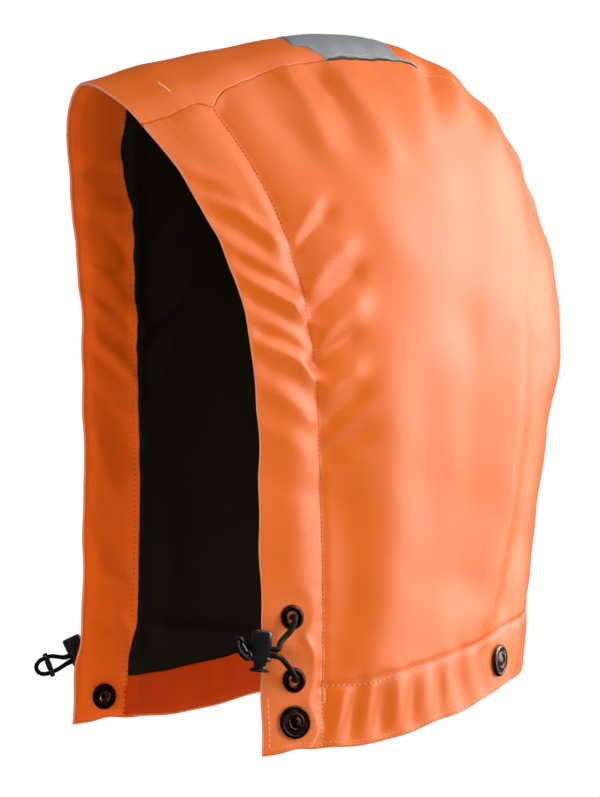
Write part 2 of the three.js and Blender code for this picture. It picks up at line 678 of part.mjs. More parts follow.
for (const lock of LOCKS) {
  const frame = frameFrom(lock.centre, lock.pass, lock.axis);
  const { long, bore, rod: core, oval, half, wall, slotMid, slotTall, slotWide } = BARREL;
  const squash = new THREE.Matrix4().makeScale(1, 1, oval);
  const slot = (low, high) => new THREE.BoxGeometry(16, high - low, slotWide).translate(0, (low + high) / 2, 0);
  const low = slotMid - slotTall / 2;
  const high = slotMid + slotTall / 2;
  const barrel = turned([[0, -half], [long - 0.3, -half], [long, -half + 0.4], [long, half - 0.9],
    [long - 0.8, half], [0, half]], 28).applyMatrix4(squash);
  const hollow = rod(bore, -half - 1, half - wall, 28).applyMatrix4(squash);
  addPiece(`cord_lock_barrel_${lock.name}`, cutFrom(barrel, [hollow, slot(low, high)]), 'plastic', frame);
  const neck = -half - TRAVEL - 0.3;
  const plunger = turned([[0, neck - 2.3], [long - 0.4, neck - 2.3], [long, neck - 1.8], [long, neck - 1.2],
    [core, neck], [core, half - wall - TRAVEL - 0.4], [0, half - wall - TRAVEL - 0.4]], 28).applyMatrix4(squash);
  addPiece(`cord_lock_plunger_${lock.name}`,
    cutFrom(plunger, [slot(low - TRAVEL - 0.2, high)]), 'plastic', frame);

  const barFrame = frameFrom(lock.stop, lock.loop, lock.bar);
  const { spread, ring, hole, thick, bar } = STOP;
  const lying = new THREE.Matrix4().makeRotationZ(Math.PI / 2);
  const ringAt = (radius, y, reach) => rod(radius, -reach, reach, 20).applyMatrix4(lying).translate(0, y, 0);
  const body = joined([
    new THREE.BoxGeometry(bar, 2 * spread, bar), ringAt(ring, spread, thick / 2), ringAt(ring, -spread, thick / 2),
  ]);
  addPiece(`cord_stop_${lock.name}`, cutFrom(body, [ringAt(hole, spread, 4), ringAt(hole, -spread, 4)]), 'plastic', barFrame);

  const local = (m, x, y, z) => new THREE.Vector3(x, y, z).applyMatrix4(m);
  const [upper, lower] = EYELETS.filter((e) => e.side === lock.side)
    .map((e) => surfaceFrame(e.side, e.y, e.z));
  const strand = (sign) => [
    local(frame, -7.5, slotMid + sign * CORD_PITCH / 2, 0), local(frame, -4.5, slotMid + sign * CORD_PITCH / 2, 0),
    local(frame, 0, slotMid + sign * CORD_PITCH / 2, 0), local(frame, 4.5, slotMid + sign * CORD_PITCH / 2, 0),
    local(frame, 6.3, slotMid + sign * CORD_PITCH / 2, 0),
    local(barFrame, -2.2, sign * spread, 0), local(barFrame, 0, sign * spread, 0),
    local(barFrame, 1.8, sign * spread, 0), local(barFrame, 4.2, sign * (spread - 0.5), 0),
    local(barFrame, 6.0, sign * 1.9, 0),
  ];
  const route = [
    local(upper, 0, -1.6, 0), local(upper, 0, 0.6, 0), local(upper, 0, 2.6, 0),
    ...lock.bends[0].map((p) => new THREE.Vector3(...p)),
    ...strand(1), local(barFrame, 6.6, 0, 0), ...strand(-1).reverse(),
    ...lock.bends[1].map((p) => new THREE.Vector3(...p)),
    local(lower, 0, 2.6, 0), local(lower, 0, 0.6, 0), local(lower, 0, -1.6, 0),
  ];
  const section = new THREE.Shape();
  section.absarc(0, 0, CORD_RADIUS, 0, 2 * Math.PI, false);
  const curve = new CordRoute(route);
  const cord = new THREE.ExtrudeGeometry(section, {
    curveSegments: 4, steps: 78, bevelEnabled: false, extrudePath: curve,
  });
  addPiece(`elastic_cord_${lock.name}`, cord, 'cord');
}

export default group;
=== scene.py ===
# A detachable rain hood: three shell panels, inner strips, lining, reflective tape,
# eyelets, press studs and a drawcord with its lock on each side.
import math

import bpy
import numpy as np
from mathutils import Matrix, Vector


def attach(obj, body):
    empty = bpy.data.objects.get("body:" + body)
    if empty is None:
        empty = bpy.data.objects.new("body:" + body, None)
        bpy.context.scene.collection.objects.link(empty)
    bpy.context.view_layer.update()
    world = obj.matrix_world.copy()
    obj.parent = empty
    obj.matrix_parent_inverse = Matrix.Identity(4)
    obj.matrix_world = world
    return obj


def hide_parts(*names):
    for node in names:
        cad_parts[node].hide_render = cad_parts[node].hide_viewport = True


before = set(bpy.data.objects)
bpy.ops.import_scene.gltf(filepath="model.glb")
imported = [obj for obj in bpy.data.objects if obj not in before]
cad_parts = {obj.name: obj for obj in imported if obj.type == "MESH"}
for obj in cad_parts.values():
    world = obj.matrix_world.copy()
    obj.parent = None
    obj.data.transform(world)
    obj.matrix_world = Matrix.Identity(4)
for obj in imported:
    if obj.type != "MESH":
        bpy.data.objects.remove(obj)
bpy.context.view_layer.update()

RAD = math.pi / 180
MM = 0.001

# ---------------------------------------------------------------- camera
TARGET = Vector((0.0, -0.01405, -0.1726))
AZ, EL, DISTANCE = 64 * RAD, 0.17 * RAD, 2.134
BACK = Vector((math.sin(AZ) * math.cos(EL), -math.cos(AZ) * math.cos(EL), math.sin(EL)))
RIGHT = Vector((math.cos(AZ), math.sin(AZ), 0))
camera_data = bpy.data.cameras.new("camera")
camera_data.sensor_fit = "AUTO"
camera_data.sensor_width = 36.0
camera_data.lens = 4446 / 797 * 36.0
camera_data.clip_end = 50
camera = bpy.data.objects.new("camera", camera_data)
camera.location = TARGET + BACK * DISTANCE
camera.rotation_euler = BACK.to_track_quat("Z", "Y").to_euler()
bpy.context.scene.collection.objects.link(camera)
bpy.context.scene.camera = camera

# ------------------------------------------------------- hood form, in mm
CENTRE_Y, CENTRE_Z = -37.4, -198.6
HALF_WIDTH, SIDE_POWER, WIDTH_POWER, MIDDLE_ROUND = 102.3, 2.29, 1.64, 10.0
FRONT_TAPER, LOWER_FLARE, CORNER = -0.054, 0.118, 52 * RAD
OUTLINE = [498, 410, 234, 161, 154, 180, 211.4, 197.7, 199, 260, 333, 436]  # from -120, each 30
FRONT = [  # height, front edge, inner edge of the facing, tunnel stitch
    (-344.2, -85.7, -56.5, -55.7), (-274.2, -83.9, -54.5, -52.7), (-204.2, -84.0, -54.6, -53.2),
    (-134.2, -88.0, -59.0, -57.0), (-84.2, -100.8, -69.0, -66.0), (-34.2, -122.3, -87.5, -83.0)]
HEM = [(-85, -333.8), (-15, -326.2), (55, -309.4), (125, -293.2)]
CENTRE_PANEL = [(-40, 34), (10, 29), (35, 26), (55, 25), (68, 28.5), (80, 34), (92, 34.5), (105, 42.5), (120, 44.8)]


def natural_spline(xs, ys):
    xs, ys = np.array(xs, float), np.array(ys, float)
    n, h = len(xs), np.diff(xs)
    m, r = np.zeros((n, n)), np.zeros(n)
    m[0, 0] = m[-1, -1] = 1
    for i in range(1, n - 1):
        m[i, i - 1:i + 2] = h[i - 1], 2 * (h[i - 1] + h[i]), h[i]
        r[i] = 6 * ((ys[i + 1] - ys[i]) / h[i] - (ys[i] - ys[i - 1]) / h[i - 1])
    s = np.linalg.solve(m, r)
    low = (ys[1] - ys[0]) / h[0] - h[0] * (2 * s[0] + s[1]) / 6
    high = (ys[-1] - ys[-2]) / h[-1] + h[-1] * (s[-2] + 2 * s[-1]) / 6

    def value(x):
        x = np.asarray(x, float)
        i = np.clip(np.searchsorted(xs, x) - 1, 0, n - 2)
        a, b = (xs[i + 1] - x) / h[i], (x - xs[i]) / h[i]
        y = a * ys[i] + b * ys[i + 1] + ((a ** 3 - a) * s[i] + (b ** 3 - b) * s[i + 1]) * h[i] ** 2 / 6
        y = np.where(x < xs[0], ys[0] + low * (x - xs[0]), y)
        return np.where(x > xs[-1], ys[-1] + high * (x - xs[-1]), y)
    return value


def periodic_spline(start, step, ys):
    ys = np.array(ys, float)
    n = len(ys)
    m, r = np.zeros((n, n)), np.zeros(n)
    for i in range(n):
        p, q = (i - 1) % n, (i + 1) % n
        m[i, p] += 1
        m[i, i] += 4
        m[i, q] += 1
        r[i] = 6 * (ys[q] - 2 * ys[i] + ys[p]) / step ** 2
    s = np.linalg.solve(m, r)

    def value(x):
        t = np.mod((np.asarray(x, float) - start) / step, n)
        i = np.floor(t).astype(int) % n
        q, b = (i + 1) % n, t - np.floor(t)
        a = 1 - b
        return a * ys[i] + b * ys[q] + ((a ** 3 - a) * s[i] + (b ** 3 - b) * s[q]) * step ** 2 / 6
    return value


outline_radius = periodic_spline(-120 * RAD, 30 * RAD, OUTLINE)
heights = [r[0] for r in FRONT]
edge_smooth = natural_spline(heights, [r[1] for r in FRONT])
facing_at = natural_spline(heights, [r[2] for r in FRONT])
stitch_at = natural_spline(heights, [r[3] for r in FRONT])
hem_smooth = natural_spline([r[0] for r in HEM], [r[1] for r in HEM])
half_smooth = natural_spline([r[0] * RAD for r in CENTRE_PANEL], [r[1] for r in CENTRE_PANEL])


def edge_at(z):  # the cloth edge is never quite even
    return edge_smooth(z) + 0.35 * np.sin(z / 11.3 + 0.4) + 0.25 * np.sin(z / 5.1 + 2.0)


def hem_at(y):
    uneven = 0.35 * np.sin(y / 9.1 + 1.2) + 0.25 * np.sin(y / 4.7)
    return hem_smooth(y) + uneven - 1.3 * np.exp(-((y + 22) / 30) ** 2) + 1.8 * np.exp(-((y + 68) / 7) ** 2)


def half_at(angle):
    a = np.asarray(angle, float) / RAD
    kink = 3.6 * np.exp(-((a - 105.2) / 1.4) ** 2) - 0.4 * np.exp(-((a - 109.2) / 2.0) ** 2)
    waves = 0.20 * np.sin(a * 1.9 + 0.6) + 0.16 * np.sin(a * 0.83 + 2)
    return half_smooth(angle) + kink + waves * np.clip((a + 30) / 20, 0, 1)


def smoothstep(x, a, b):
    t = np.clip((x - a) / (b - a), 0, 1)
    return t * t * (3 - 2 * t)


def bisect(f, a, b, n=42):
    a, b = np.array(a, float), np.array(b, float)
    rising = f(b) > f(a)
    for _ in range(n):
        m = (a + b) / 2
        up = (f(m) > 0) == rising
        b, a = np.where(up, m, b), np.where(up, a, m)
    return (a + b) / 2


def width_scale(y, z):
    front = np.clip(-(y - CENTRE_Y) / 100, 0, 2)
    low = np.clip(-(z - CENTRE_Z) / 150, 0, 2)
    return HALF_WIDTH * (1 + FRONT_TAPER * front ** 2 + LOWER_FLARE * low ** 2)


def rho(y, z):
    return np.hypot(y - CENTRE_Y, z - CENTRE_Z) / outline_radius(np.arctan2(z - CENTRE_Z, y - CENTRE_Y))


def level(x, y, z):
    w = width_scale(y, z)
    return rho(y, z) ** SIDE_POWER + (np.hypot(x, MIDDLE_ROUND) / w) ** WIDTH_POWER \
        - (MIDDLE_ROUND / w) ** WIDTH_POWER - 1


def normals_at(p):
    x, y, z, h = p[..., 0], p[..., 1], p[..., 2], 0.02
    g = np.stack([level(x + h, y, z) - level(x - h, y, z), level(x, y + h, z) - level(x, y - h, z),
                  level(x, y, z + h) - level(x, y, z - h)], -1)
    return g / np.linalg.norm(g, axis=-1, keepdims=True)


def surface_x(y, z):
    w = width_scale(y, z)
    share = 1 - rho(y, z) ** SIDE_POWER + (MIDDLE_ROUND / w) ** WIDTH_POWER
    return np.sqrt(np.maximum((w * np.maximum(share, 0) ** (1 / WIDTH_POWER)) ** 2 - MIDDLE_ROUND ** 2, 0))


def on_ray(x, angle):
    x, angle = np.broadcast_arrays(np.asarray(x, float), np.asarray(angle, float))
    c, s, top = np.cos(angle), np.sin(angle), outline_radius(angle)
    r = bisect(lambda d: level(x, CENTRE_Y + d * c, CENTRE_Z + d * s), top * 0.4, top * 1.02)
    return np.stack([x, CENTRE_Y + r * c, CENTRE_Z + r * s], -1)


def onto_surface(p):
    p = np.array(p, float)
    h = 0.02
    for _ in range(8):
        x, y, z = p[..., 0], p[..., 1], p[..., 2]
        g = np.stack([level(x + h, y, z) - level(x - h, y, z), level(x, y + h, z) - level(x, y - h, z),
                      level(x, y, z + h) - level(x, y, z - h)], -1) / (2 * h)
        p = p - (level(x, y, z) / (g ** 2).sum(-1))[..., None] * g
    return p


# ------------------------------------------------- folds, in side view, mm
# side, y1, z1, y2, z2, width, height, fade along it, sharpness
FOLDS = [
    (1, -40, -21, -37, -49, 5.0, 2.2, 0.2, 0.2), (1, -27, -20, -22, -49, 5.6, -2.6, 0.0, 0.1),
    (1, -11, -24, -5, -52, 5.6, 2.2, 0.2, 0.1), (1, 6, -18, 9, -34, 5.0, -1.0, 0.2, 0.1),
    (1, 17, -19, 20, -40, 5.4, 1.1, 0.3, 0.1), (1, -53, -45, -45, -56, 5.5, -1.5, 0.2, 0.1),
    (1, -57.5, -98, -48, -86, 3.2, 2.0, 0.2, 0.2), (1, -58, -106, -43, -91, 3.2, -2.4, 0.1, 0.1),
    (1, -56.5, -124, -37, -106, 4.4, 2.6, 0.0, 0.2), 
    (1, -55, -135, -33, -116, 3.4, -2.7, 0.1, 0.2), (1, -53, -147, -36, -133, 4.4, 2.8, -0.1, 0.1),
    (1, -53, -157, -38, -145, 3.0, -2.2, 0.2, 0.2), (1, -51, -171, -37, -161, 3.4, 2.0, 0.0, 0.1),
    (1, -46, -182, -36, -173, 3.2, -1.5, 0.1, 0.2), (1, -46, -190, -33, -180, 3.8, 1.4, 0.2, 0.2),
    (1, -49, -199, -34, -191, 3.4, -1.0, 0.3, 0.2), (1, -48, -208, -32, -201, 3.6, 0.9, 0.3, 0.2),
    (1, -99, -68.5, -82, -81, 3.4, 1.2, 0.0, 0.2), (1, -95, -76, -74, -88, 3.2, -1.2, -0.2, 0.2),
    (1, -92, -82, -70, -97, 3.0, 1.8, -0.2, 0.2), (1, -93, -91, -75, -103, 3.0, -1.2, -0.2, 0.1),
    (1, -92, -100.5, -74, -112, 3.2, 1.7, -0.2, 0.3), (1, -84, -110, -64, -124, 2.8, -2.0, -0.2, 0.2),
    (1, -83, -119, -58, -137, 2.9, 2.8, -0.2, 0.4), (1, -81, -128, -58, -145, 3.4, -1.5, -0.2, 0.1),
    (1, -80, -136, -62, -150, 3.4, 1.0, -0.2, 0.1), (1, -80, -142, -58, -155, 2.7, -2.0, -0.2, 0.2),
    (1, -79, -149, -57, -163, 2.9, 2.6, -0.2, 0.4), (1, -78, -158, -58, -172, 3.6, -1.4, -0.2, 0.1),
    (1, -75, -170, -58, -182, 3.4, 1.5, -0.2, 0.3), (1, -80, -186, -56, -200, 4.3, 1.0, -0.2, 0.2),
    (1, -84, -206, -58, -216, 5.0, -0.8, 0.0, 0.1),
    (1, 29, -141, 24, -253, 8.2, -2.2, 0.0, 0.0), (1, 60, -141, 40, -272, 7.0, 3.0, 0.0, 0.2),
    (1, 80, -155, 59, -268, 6.8, -2.6, 0.0, 0.1), (1, 40, -56, 30, -127, 9.6, -1.3, 0.0, 0.0),
    (1, -49, -196, -44, -288, 7.0, -1.6, 0.0, 0.0), (1, -19, -170, -24, -288, 12.0, 2.6, 0.0, 0.0),
    (1, 2, -187, 0, -284, 9.0, -0.9, 0.0, 0.0), (1, -24, -66, -10, -98, 10.0, 1.0, 0.0, 0.0),
    (1, 96, -60, 78, -128, 7.5, -1.4, 0.0, 0.1), (1, 70, -34, 58, -84, 8.0, 1.3, 0.2, 0.1),
]
FOLDS = [row[:6] + (row[6] * (0.85 if row[5] < 6 else 1.0),) + row[7:] for row in FOLDS]  # the small folds are shallow
# puckers of the hem band: depth y at the lower edge, lean, width, height, reach above the stitch
HEM_FOLDS = [
    (-50.0, 8.0, 3.0, 2.0, 4), (-41.5, 5.0, 2.8, -1.7, 3), (-33.0, 3.0, 3.2, 1.5, 2), (-24.8, 2.0, 3.2, -2.1, 3),
    (-16.0, 1.0, 3.0, 1.7, 2), (-7.5, 1.0, 2.6, -1.7, 2), (1.0, 0.5, 2.6, 1.3, 2), (9.0, 0.5, 2.4, -1.4, 3),
    (16.0, -1.0, 3.0, 1.3, 3), (24.0, -2.0, 3.2, -1.8, 10), (32.0, -2.0, 3.2, 1.4, 8), (41.0, -2.0, 3.4, -1.5, 12),
    (62.0, -1.0, 3.4, -1.1, 6), (70.0, 0.0, 4.0, 1.1, 4),
]
SEAM_DENTS = [  # angle round the side outline, how far the seam pulls in, how wide
    (66.4, 4.0, 1.6), (57.6, 4.1, 2.0), (50.4, 2.4, 1.8), (43.4, 2.6, 1.7), (37.6, 2.0, 2.2), (29.0, 0.8, 2.2), (20.0, 0.5, 3.0),
    (6.0, 0.6, 3.0), (-10.0, 0.7, 3.4), (-29.0, 1.9, 2.4), (96.0, 0.6, 2.0), (86.0, 0.4, 1.6), (77.5, 0.5, 1.6)]
TRIM = [  # angle round the side outline, how far the whole back and crown stand out there
    (-50, 1.6), (-40, 1.6), (-34, 0.6), (-28, -0.8), (-21, -3.2), (-14, -3.8), (-7, -4.0), (0, -4.0), (6, -3.4), (11, -1.9), (16, 0.2),
    (22, 0.6), (28, 0.1), (34, -0.5), (41, -2.0), (50, -1.2), (58, -0.6), (66, -1.0), (72, -1.3), (80, -1.0), (90, -0.8),
    (95, -0.9), (99, 0.2), (104, 0.4), (109, 1.3), (114, 0.5), (122, 0.0)]
EYELETS = [("left_upper", 1, -69.0, -271.4), ("left_lower", 1, -68.8, -299.9),
           ("right_upper", -1, -69.0, -271.4), ("right_lower", -1, -68.8, -299.9)]
STUDS = [("front_left", 1, -69.1, -318.9, 4.0), ("front_right", -1, -72.2, -319.9, 4.0),
         ("hem_left", 1, 52.9, -295.9, 3.2), ("hem_right", -1, 52.9, -295.9, 3.2)]
HEM_BAND = 28.0


def ridge(y, z, y1, z1, y2, z2, width, fade, sharp):
    dy, dz = y2 - y1, z2 - z1
    length = math.hypot(dy, dz)
    along = ((y - y1) * dy + (z - z1) * dz) / length
    across = ((y - y1) * dz - (z - z1) * dy) / length
    bow = 0.05 * length * np.sin(np.clip(along / length, 0, 1) * math.pi) * (1 if (y1 * 7 + z1) % 2 > 1 else -1)
    t = np.abs(across - bow) / width
    beyond = np.maximum(np.maximum(-along, along - length), 0) / (width * 1.5)
    s = np.clip(along / length, 0, 1)
    strength = 1 - fade * s if fade >= 0 else 1 + fade * (1 - s)
    return ((1 - sharp) * np.exp(-0.5 * t ** 2) + sharp * np.exp(-1.15 * t)) * np.exp(-0.5 * beyond ** 2) * strength


def flat_near_fittings(p, inner=7.5, outer=15.0):
    keep = np.ones(p.shape[:-1])
    for side, y, z in [(e[1], e[2], e[3]) for e in EYELETS] + [(s[1], s[2], s[3]) for s in STUDS]:
        d = np.hypot(p[..., 1] - y, p[..., 2] - z)
        keep = np.where(side * p[..., 0] > 0, keep * smoothstep(d, inner, outer), keep)
    return keep


trim_at = natural_spline([r[0] for r in TRIM], [r[1] for r in TRIM])


def seam_distance(p):
    """How far beyond the seam, across the width: above 0 on a side panel."""
    return np.abs(p[..., 0]) - half_at(np.arctan2(p[..., 2] - CENTRE_Z, p[..., 1] - CENTRE_Y))


def shell_lift(p):
    """How far the cloth stands out of the smooth form, mm."""
    x, y, z = p[..., 0], p[..., 1], p[..., 2]
    left = x >= 0
    wy = y + 0.9 * np.sin(z / 17.0 + 0.7) + 0.5 * np.sin(z / 7.3 + y / 13)
    wz = z + 0.9 * np.sin(y / 15.0 + 1.1) + 0.5 * np.sin(y / 6.9 - z / 19)
    total = np.zeros(x.shape)
    for i, (_, y1, z1, y2, z2, width, height, fade, sharp) in enumerate(FOLDS):
        total += np.where(left, height * ridge(wy, wz, y1, z1, y2, z2, width, fade, sharp), 0)
        # the other side has the same kind of folds, a little elsewhere
        oy, oz = 3.5 * math.sin(i * 2.1 + 0.5), 4.0 * math.cos(i * 1.7)
        total += np.where(left, 0, height * (0.75 + 0.25 * math.sin(i * 5.3)) * ridge(
            wy, wz, y1 + oy, z1 + oz, y2 + 1.3 * oy, z2 - oz, width, fade, sharp))
    hem = hem_smooth(y)
    for i, (y0, lean, width, height, reach) in enumerate(HEM_FOLDS):
        o = np.where(left, 0, 4 * math.sin(i * 1.9))
        centre = y0 + o + lean * (z - hem) / HEM_BAND
        up = (z - hem) / HEM_BAND
        body = np.sin(math.pi * np.clip(up, 0, 1)) ** 0.6 * (z > hem)
        above = 0.55 * np.exp(-np.maximum(z - hem - HEM_BAND, 0) / reach) * smoothstep(up, 0.98, 1.06)
        total += 0.75 * height * np.exp(-0.5 * ((y - centre) / width) ** 2) * (body * (up < 1) + above)
    total *= smoothstep(seam_distance(p), -6, 12)
    # soft unevenness of the hanging cloth
    total += 0.35 * np.sin(y / 21 + 0.3) * np.sin(z / 27 + 1) + 0.22 * np.sin(y / 9.5 + z / 14) * np.sin(z / 12.7 - y / 30)
    # the tunnel stitch pulls in, with small puckers both sides, and the tunnel swells
    slope = (stitch_at(z + 1) - stitch_at(z - 1)) / 2
    d = (y - stitch_at(z)) / np.sqrt(1 + slope ** 2)
    seamless = smoothstep(seam_distance(p), -2, 6)
    pucker = np.sin(z / 1.45 + 1.5 * np.sin(z / 6.1)) * (0.6 + 0.4 * np.sin(z / 23))
    low_band = smoothstep(-z, 255, 285)
    total += seamless * (-0.75 * np.exp(-0.5 * (d / 1.5) ** 2) - 1.3 * np.exp(-0.5 * (d / 5.0) ** 2) + (0.16 + 0.22 * low_band) * pucker * np.exp(-np.abs(d) / 3.5)
                         + 0.9 * np.exp(-0.5 * ((d + 14) / 7.5) ** 2)
                         + 0.6 * np.exp(-0.5 * ((d + 6.0) / 2.8) ** 2) * smoothstep(z, -205, -150))
    # wavy swell beside the lower part of the tunnel stitch
    wave = -60.5 + 2.6 * np.sin((z + 300) / 4.6) + 1.0 * np.sin(z / 2.9)
    total += np.where(left, 1, 0.8) * 1.25 * low_band * np.exp(-0.5 * ((y - wave) / 1.9) ** 2) * seamless
    # hem stitch
    e = z - hem - HEM_BAND
    behind = smoothstep(y, -60, -54)
    total += behind * (-0.65 * np.exp(-0.5 * (e / 1.1) ** 2)
                       + 0.14 * np.sin(y / 1.3 + np.sin(y / 5)) * np.exp(-np.abs(e) / 3))
    # seams over the top and down the back
    s = seam_distance(p)
    angle = np.arctan2(z - CENTRE_Z, y - CENTRE_Y) / RAD
    for at, depth, width in SEAM_DENTS:
        total -= depth * np.exp(-0.5 * ((angle - at) / width) ** 2) * np.exp(-0.5 * (s / 13) ** 2)
    total += 0.13 * np.sin(angle * 3.1 + np.sin(angle / 3) * 2) * np.exp(-np.abs(s) / 3.5)
    total += 0.8 * np.exp(-0.5 * ((s + 9) / 6) ** 2) * smoothstep(np.abs(x), 2, 12) * smoothstep(angle, -50, -10)
    total += trim_at(np.clip(angle, -50, 122)) * smoothstep(rho(y, z), 0.62, 0.93) * smoothstep(angle, -60, -44)
    return total * flat_near_fittings(p)


# ------------------------------------------------------------ mesh helpers
def add_object(name, mesh):
    o = bpy.data.objects.new(name, mesh)
    bpy.context.scene.collection.objects.link(o)
    return o


def make_mesh(name, verts, faces, uv=None, smooth=True):
    """verts in mm; faces a list or an array; uv per vertex, in metres"""
    mesh = bpy.data.meshes.new(name)
    faces = faces.tolist() if isinstance(faces, np.ndarray) else faces
    mesh.from_pydata((np.asarray(verts, float) * MM).tolist(), [], faces)
    mesh.update()
    if uv is not None:
        loops = np.zeros(len(mesh.loops), np.int32)
        mesh.loops.foreach_get("vertex_index", loops)
        layer = mesh.uv_layers.new(name="cloth")
        layer.data.foreach_set("uv", np.asarray(uv, np.float32)[loops].ravel())
    mesh.polygons.foreach_set("use_smooth", np.full(len(mesh.polygons), smooth))
    return add_object(name, mesh)


def grid_quads(m, n, offset=0):
    i, j = np.meshgrid(np.arange(m - 1), np.arange(n - 1), indexing="ij")
    a = (i * n + j).ravel() + offset
    return np.stack([a, a + n, a + n + 1, a + 1], 1)


def facing_out(p, quads, out):
    """Turns the quads so that the first of them faces along out."""
    q = quads[len(quads) // 2]
    c = np.cross(p[q[1]] - p[q[0]], p[q[2]] - p[q[0]])
    return quads if c @ out[q[0]] > 0 else quads[:, ::-1]


def cloth_uv(p):
    du = np.linalg.norm(np.diff(p, axis=0), axis=-1)
    dv = np.linalg.norm(np.diff(p, axis=1), axis=-1)
    u = np.concatenate([np.zeros((1, p.shape[1])), np.cumsum(du, 0)], 0)
    v = np.concatenate([np.zeros((p.shape[0], 1)), np.cumsum(dv, 1)], 1)
    v = v + p[:1, :1, 2]
    return np.stack([u, v], -1) * MM


def wall(name, p, n, top, bottom, uv, edge=None):
    """A closed cloth wall over a grid of base points, between two heights along the normals.
    edge says where on the grid the second material goes: the paler colour of a folded edge, a painted highlight."""
    m, k = p.shape[:2]
    outer = (p + n * top[..., None]).reshape(-1, 3)
    inner = (p + n * bottom[..., None]).reshape(-1, 3)
    out = n.reshape(-1, 3)
    count = m * k
    front = facing_out(outer, grid_quads(m, k), out)
    back = front[:, ::-1] + count
    ring = [(0, j) for j in range(k)] + [(i, k - 1) for i in range(1, m)] \
        + [(m - 1, j) for j in range(k - 2, -1, -1)] + [(i, 0) for i in range(m - 2, 0, -1)]
    ids = np.array([i * k + j for i, j in ring])
    nxt = np.roll(ids, -1)
    edges = set()
    for q in front:
        for s in range(4):
            edges.add((int(q[s]), int(q[(s + 1) % 4])))
    rim = []
    for a, b in zip(ids, nxt):
        a, b = int(a), int(b)
        rim.append([b, a, a + count, b + count] if (a, b) in edges else [a, b, b + count, a + count])
    faces = front.tolist() + back.tolist() + rim
    uvs = uv.reshape(-1, 2)
    made = make_mesh(name, np.concatenate([outer, inner]), faces, np.concatenate([uvs, uvs]))
    if edge is not None:
        marked = np.concatenate([edge.ravel(), edge.ravel()])
        made.data.polygons.foreach_set("material_index", np.array([int(all(marked[k] for k in f)) for f in faces], np.int32))
    return made


def near_edges(length, low, high, count):
    """Positions 0 to 1 along a length, close together at each end as the offsets say."""
    low, high = np.array(low) / length, 1 - np.array(high)[::-1] / length
    mid = np.linspace(low[-1], high[0], count + 2)[1:-1]
    return np.concatenate([low, mid, high])


# ------------------------------------------------------- panels, as grids
def panel_ends(w, front, hem):
    w = np.asarray(w, float)

    def over(a):
        p = on_ray(w * half_at(a), a)
        return p[..., 1] - front(p[..., 2])

    def under(a):
        p = on_ray(w * half_at(a), a)
        return p[..., 2] - hem(p[..., 1])
    return bisect(over, np.full(w.shape, 60 * RAD), np.full(w.shape, 128 * RAD)), \
        bisect(under, np.full(w.shape, -60 * RAD), np.full(w.shape, 5 * RAD))


def side_grid(side, front, hem, u, v):
    start, end = panel_ends(np.array(1.0), front, hem)
    start, end = float(start), float(end)

    def top(t):
        a = start + (CORNER - start) * t
        return on_ray(half_at(a), a)[..., 1:]

    def back(t):
        a = end + (CORNER - end) * t
        return on_ray(half_at(a), a)[..., 1:]
    highest = float(top(np.array(0.0))[1])
    low = float(hem(front(-330.0)))
    for _ in range(20):
        low = float(hem(front(low)))

    def left(t):
        z = low + (highest - low) * t
        return np.stack([front(z), z], -1)
    first, last = float(left(np.array(0.0))[0]), float(back(np.array(0.0))[0])

    def bottom(t):
        y = first + (last - first) * t
        return np.stack([y, hem(y)], -1)
    c00, c10, c01, c11 = left(np.array(0.0)), back(np.array(0.0)), top(np.array(0.0)), top(np.array(1.0))
    us, vs = u[..., None], v[..., None]
    p = (1 - vs) * bottom(u) + vs * top(u) + (1 - us) * left(v) + us * back(v) \
        - (1 - us) * (1 - vs) * c00 - us * (1 - vs) * c10 - (1 - us) * vs * c01 - us * vs * c11
    return np.stack([side * surface_x(p[..., 0], p[..., 1]), p[..., 0], p[..., 1]], -1)


def centre_grid(front, hem, w, t):
    start, end = panel_ends(np.abs(w[:, 0]), front, hem)
    a = start[:, None] + (end - start)[:, None] * t
    p = on_ray(np.abs(w) * half_at(a), a)
    p[..., 0] *= np.where(w < 0, -1, 1)
    return p


def spread(side_count, up_count, edge_u, edge_v, seam_u, seam_v, wide, high):
    """u and v of a side panel's grid, with rows close to its edges"""
    u1 = near_edges(wide, edge_u, seam_u, side_count)
    v1 = near_edges(high, edge_v, seam_v, up_count)
    return np.meshgrid(u1, v1, indexing="ij")


def arch_curve(front, hem, n):
    mid = -145.0

    def point(t):
        r = bisect(lambda d: level(d * np.sin(t), front(mid + d * np.cos(t)), mid + d * np.cos(t)),
                   np.full(t.shape, 20.0), np.full(t.shape, 260.0))
        z = mid + r * np.cos(t)
        return np.stack([r * np.sin(t), front(z), z], -1)

    def over(t):
        p = point(t)
        return p[..., 2] - hem(p[..., 1])
    last = float(bisect(over, np.array([110 * RAD]), np.array([170 * RAD]))[0])
    return resample(point(np.linspace(-last, last, 900)), n)


def neck_curve(rise, limit, n):
    def point(t):
        r = bisect(lambda d: level(d * np.sin(t), d * np.cos(t), hem_at(d * np.cos(t)) + rise(d * np.cos(t))),
                   np.full(t.shape, 20.0), np.full(t.shape, 220.0))
        y = r * np.cos(t)
        return np.stack([r * np.sin(t), y, hem_at(y) + rise(y)], -1)

    def over(t):
        p = point(t)
        return p[..., 1] - limit(p[..., 2])
    last = float(bisect(over, np.array([40 * RAD]), np.array([160 * RAD]))[0])
    return resample(point(np.linspace(-last, last, 900)), n)


def resample(p, n):
    at = np.concatenate([[0], np.cumsum(np.linalg.norm(np.diff(p, axis=0), axis=1))])
    t = np.linspace(0, at[-1], n + 1)
    return np.stack([np.interp(t, at, p[:, k]) for k in range(p.shape[1])], 1)


def path_length(p):
    return float(np.linalg.norm(np.diff(p, axis=0), axis=1).sum())


# --------------------------------------------------------------- materials
def linear(r, g, b):
    def one(c):
        c /= 255
        return c / 12.92 if c <= 0.04045 else ((c + 0.055) / 1.055) ** 2.4
    return (one(r), one(g), one(b), 1.0)


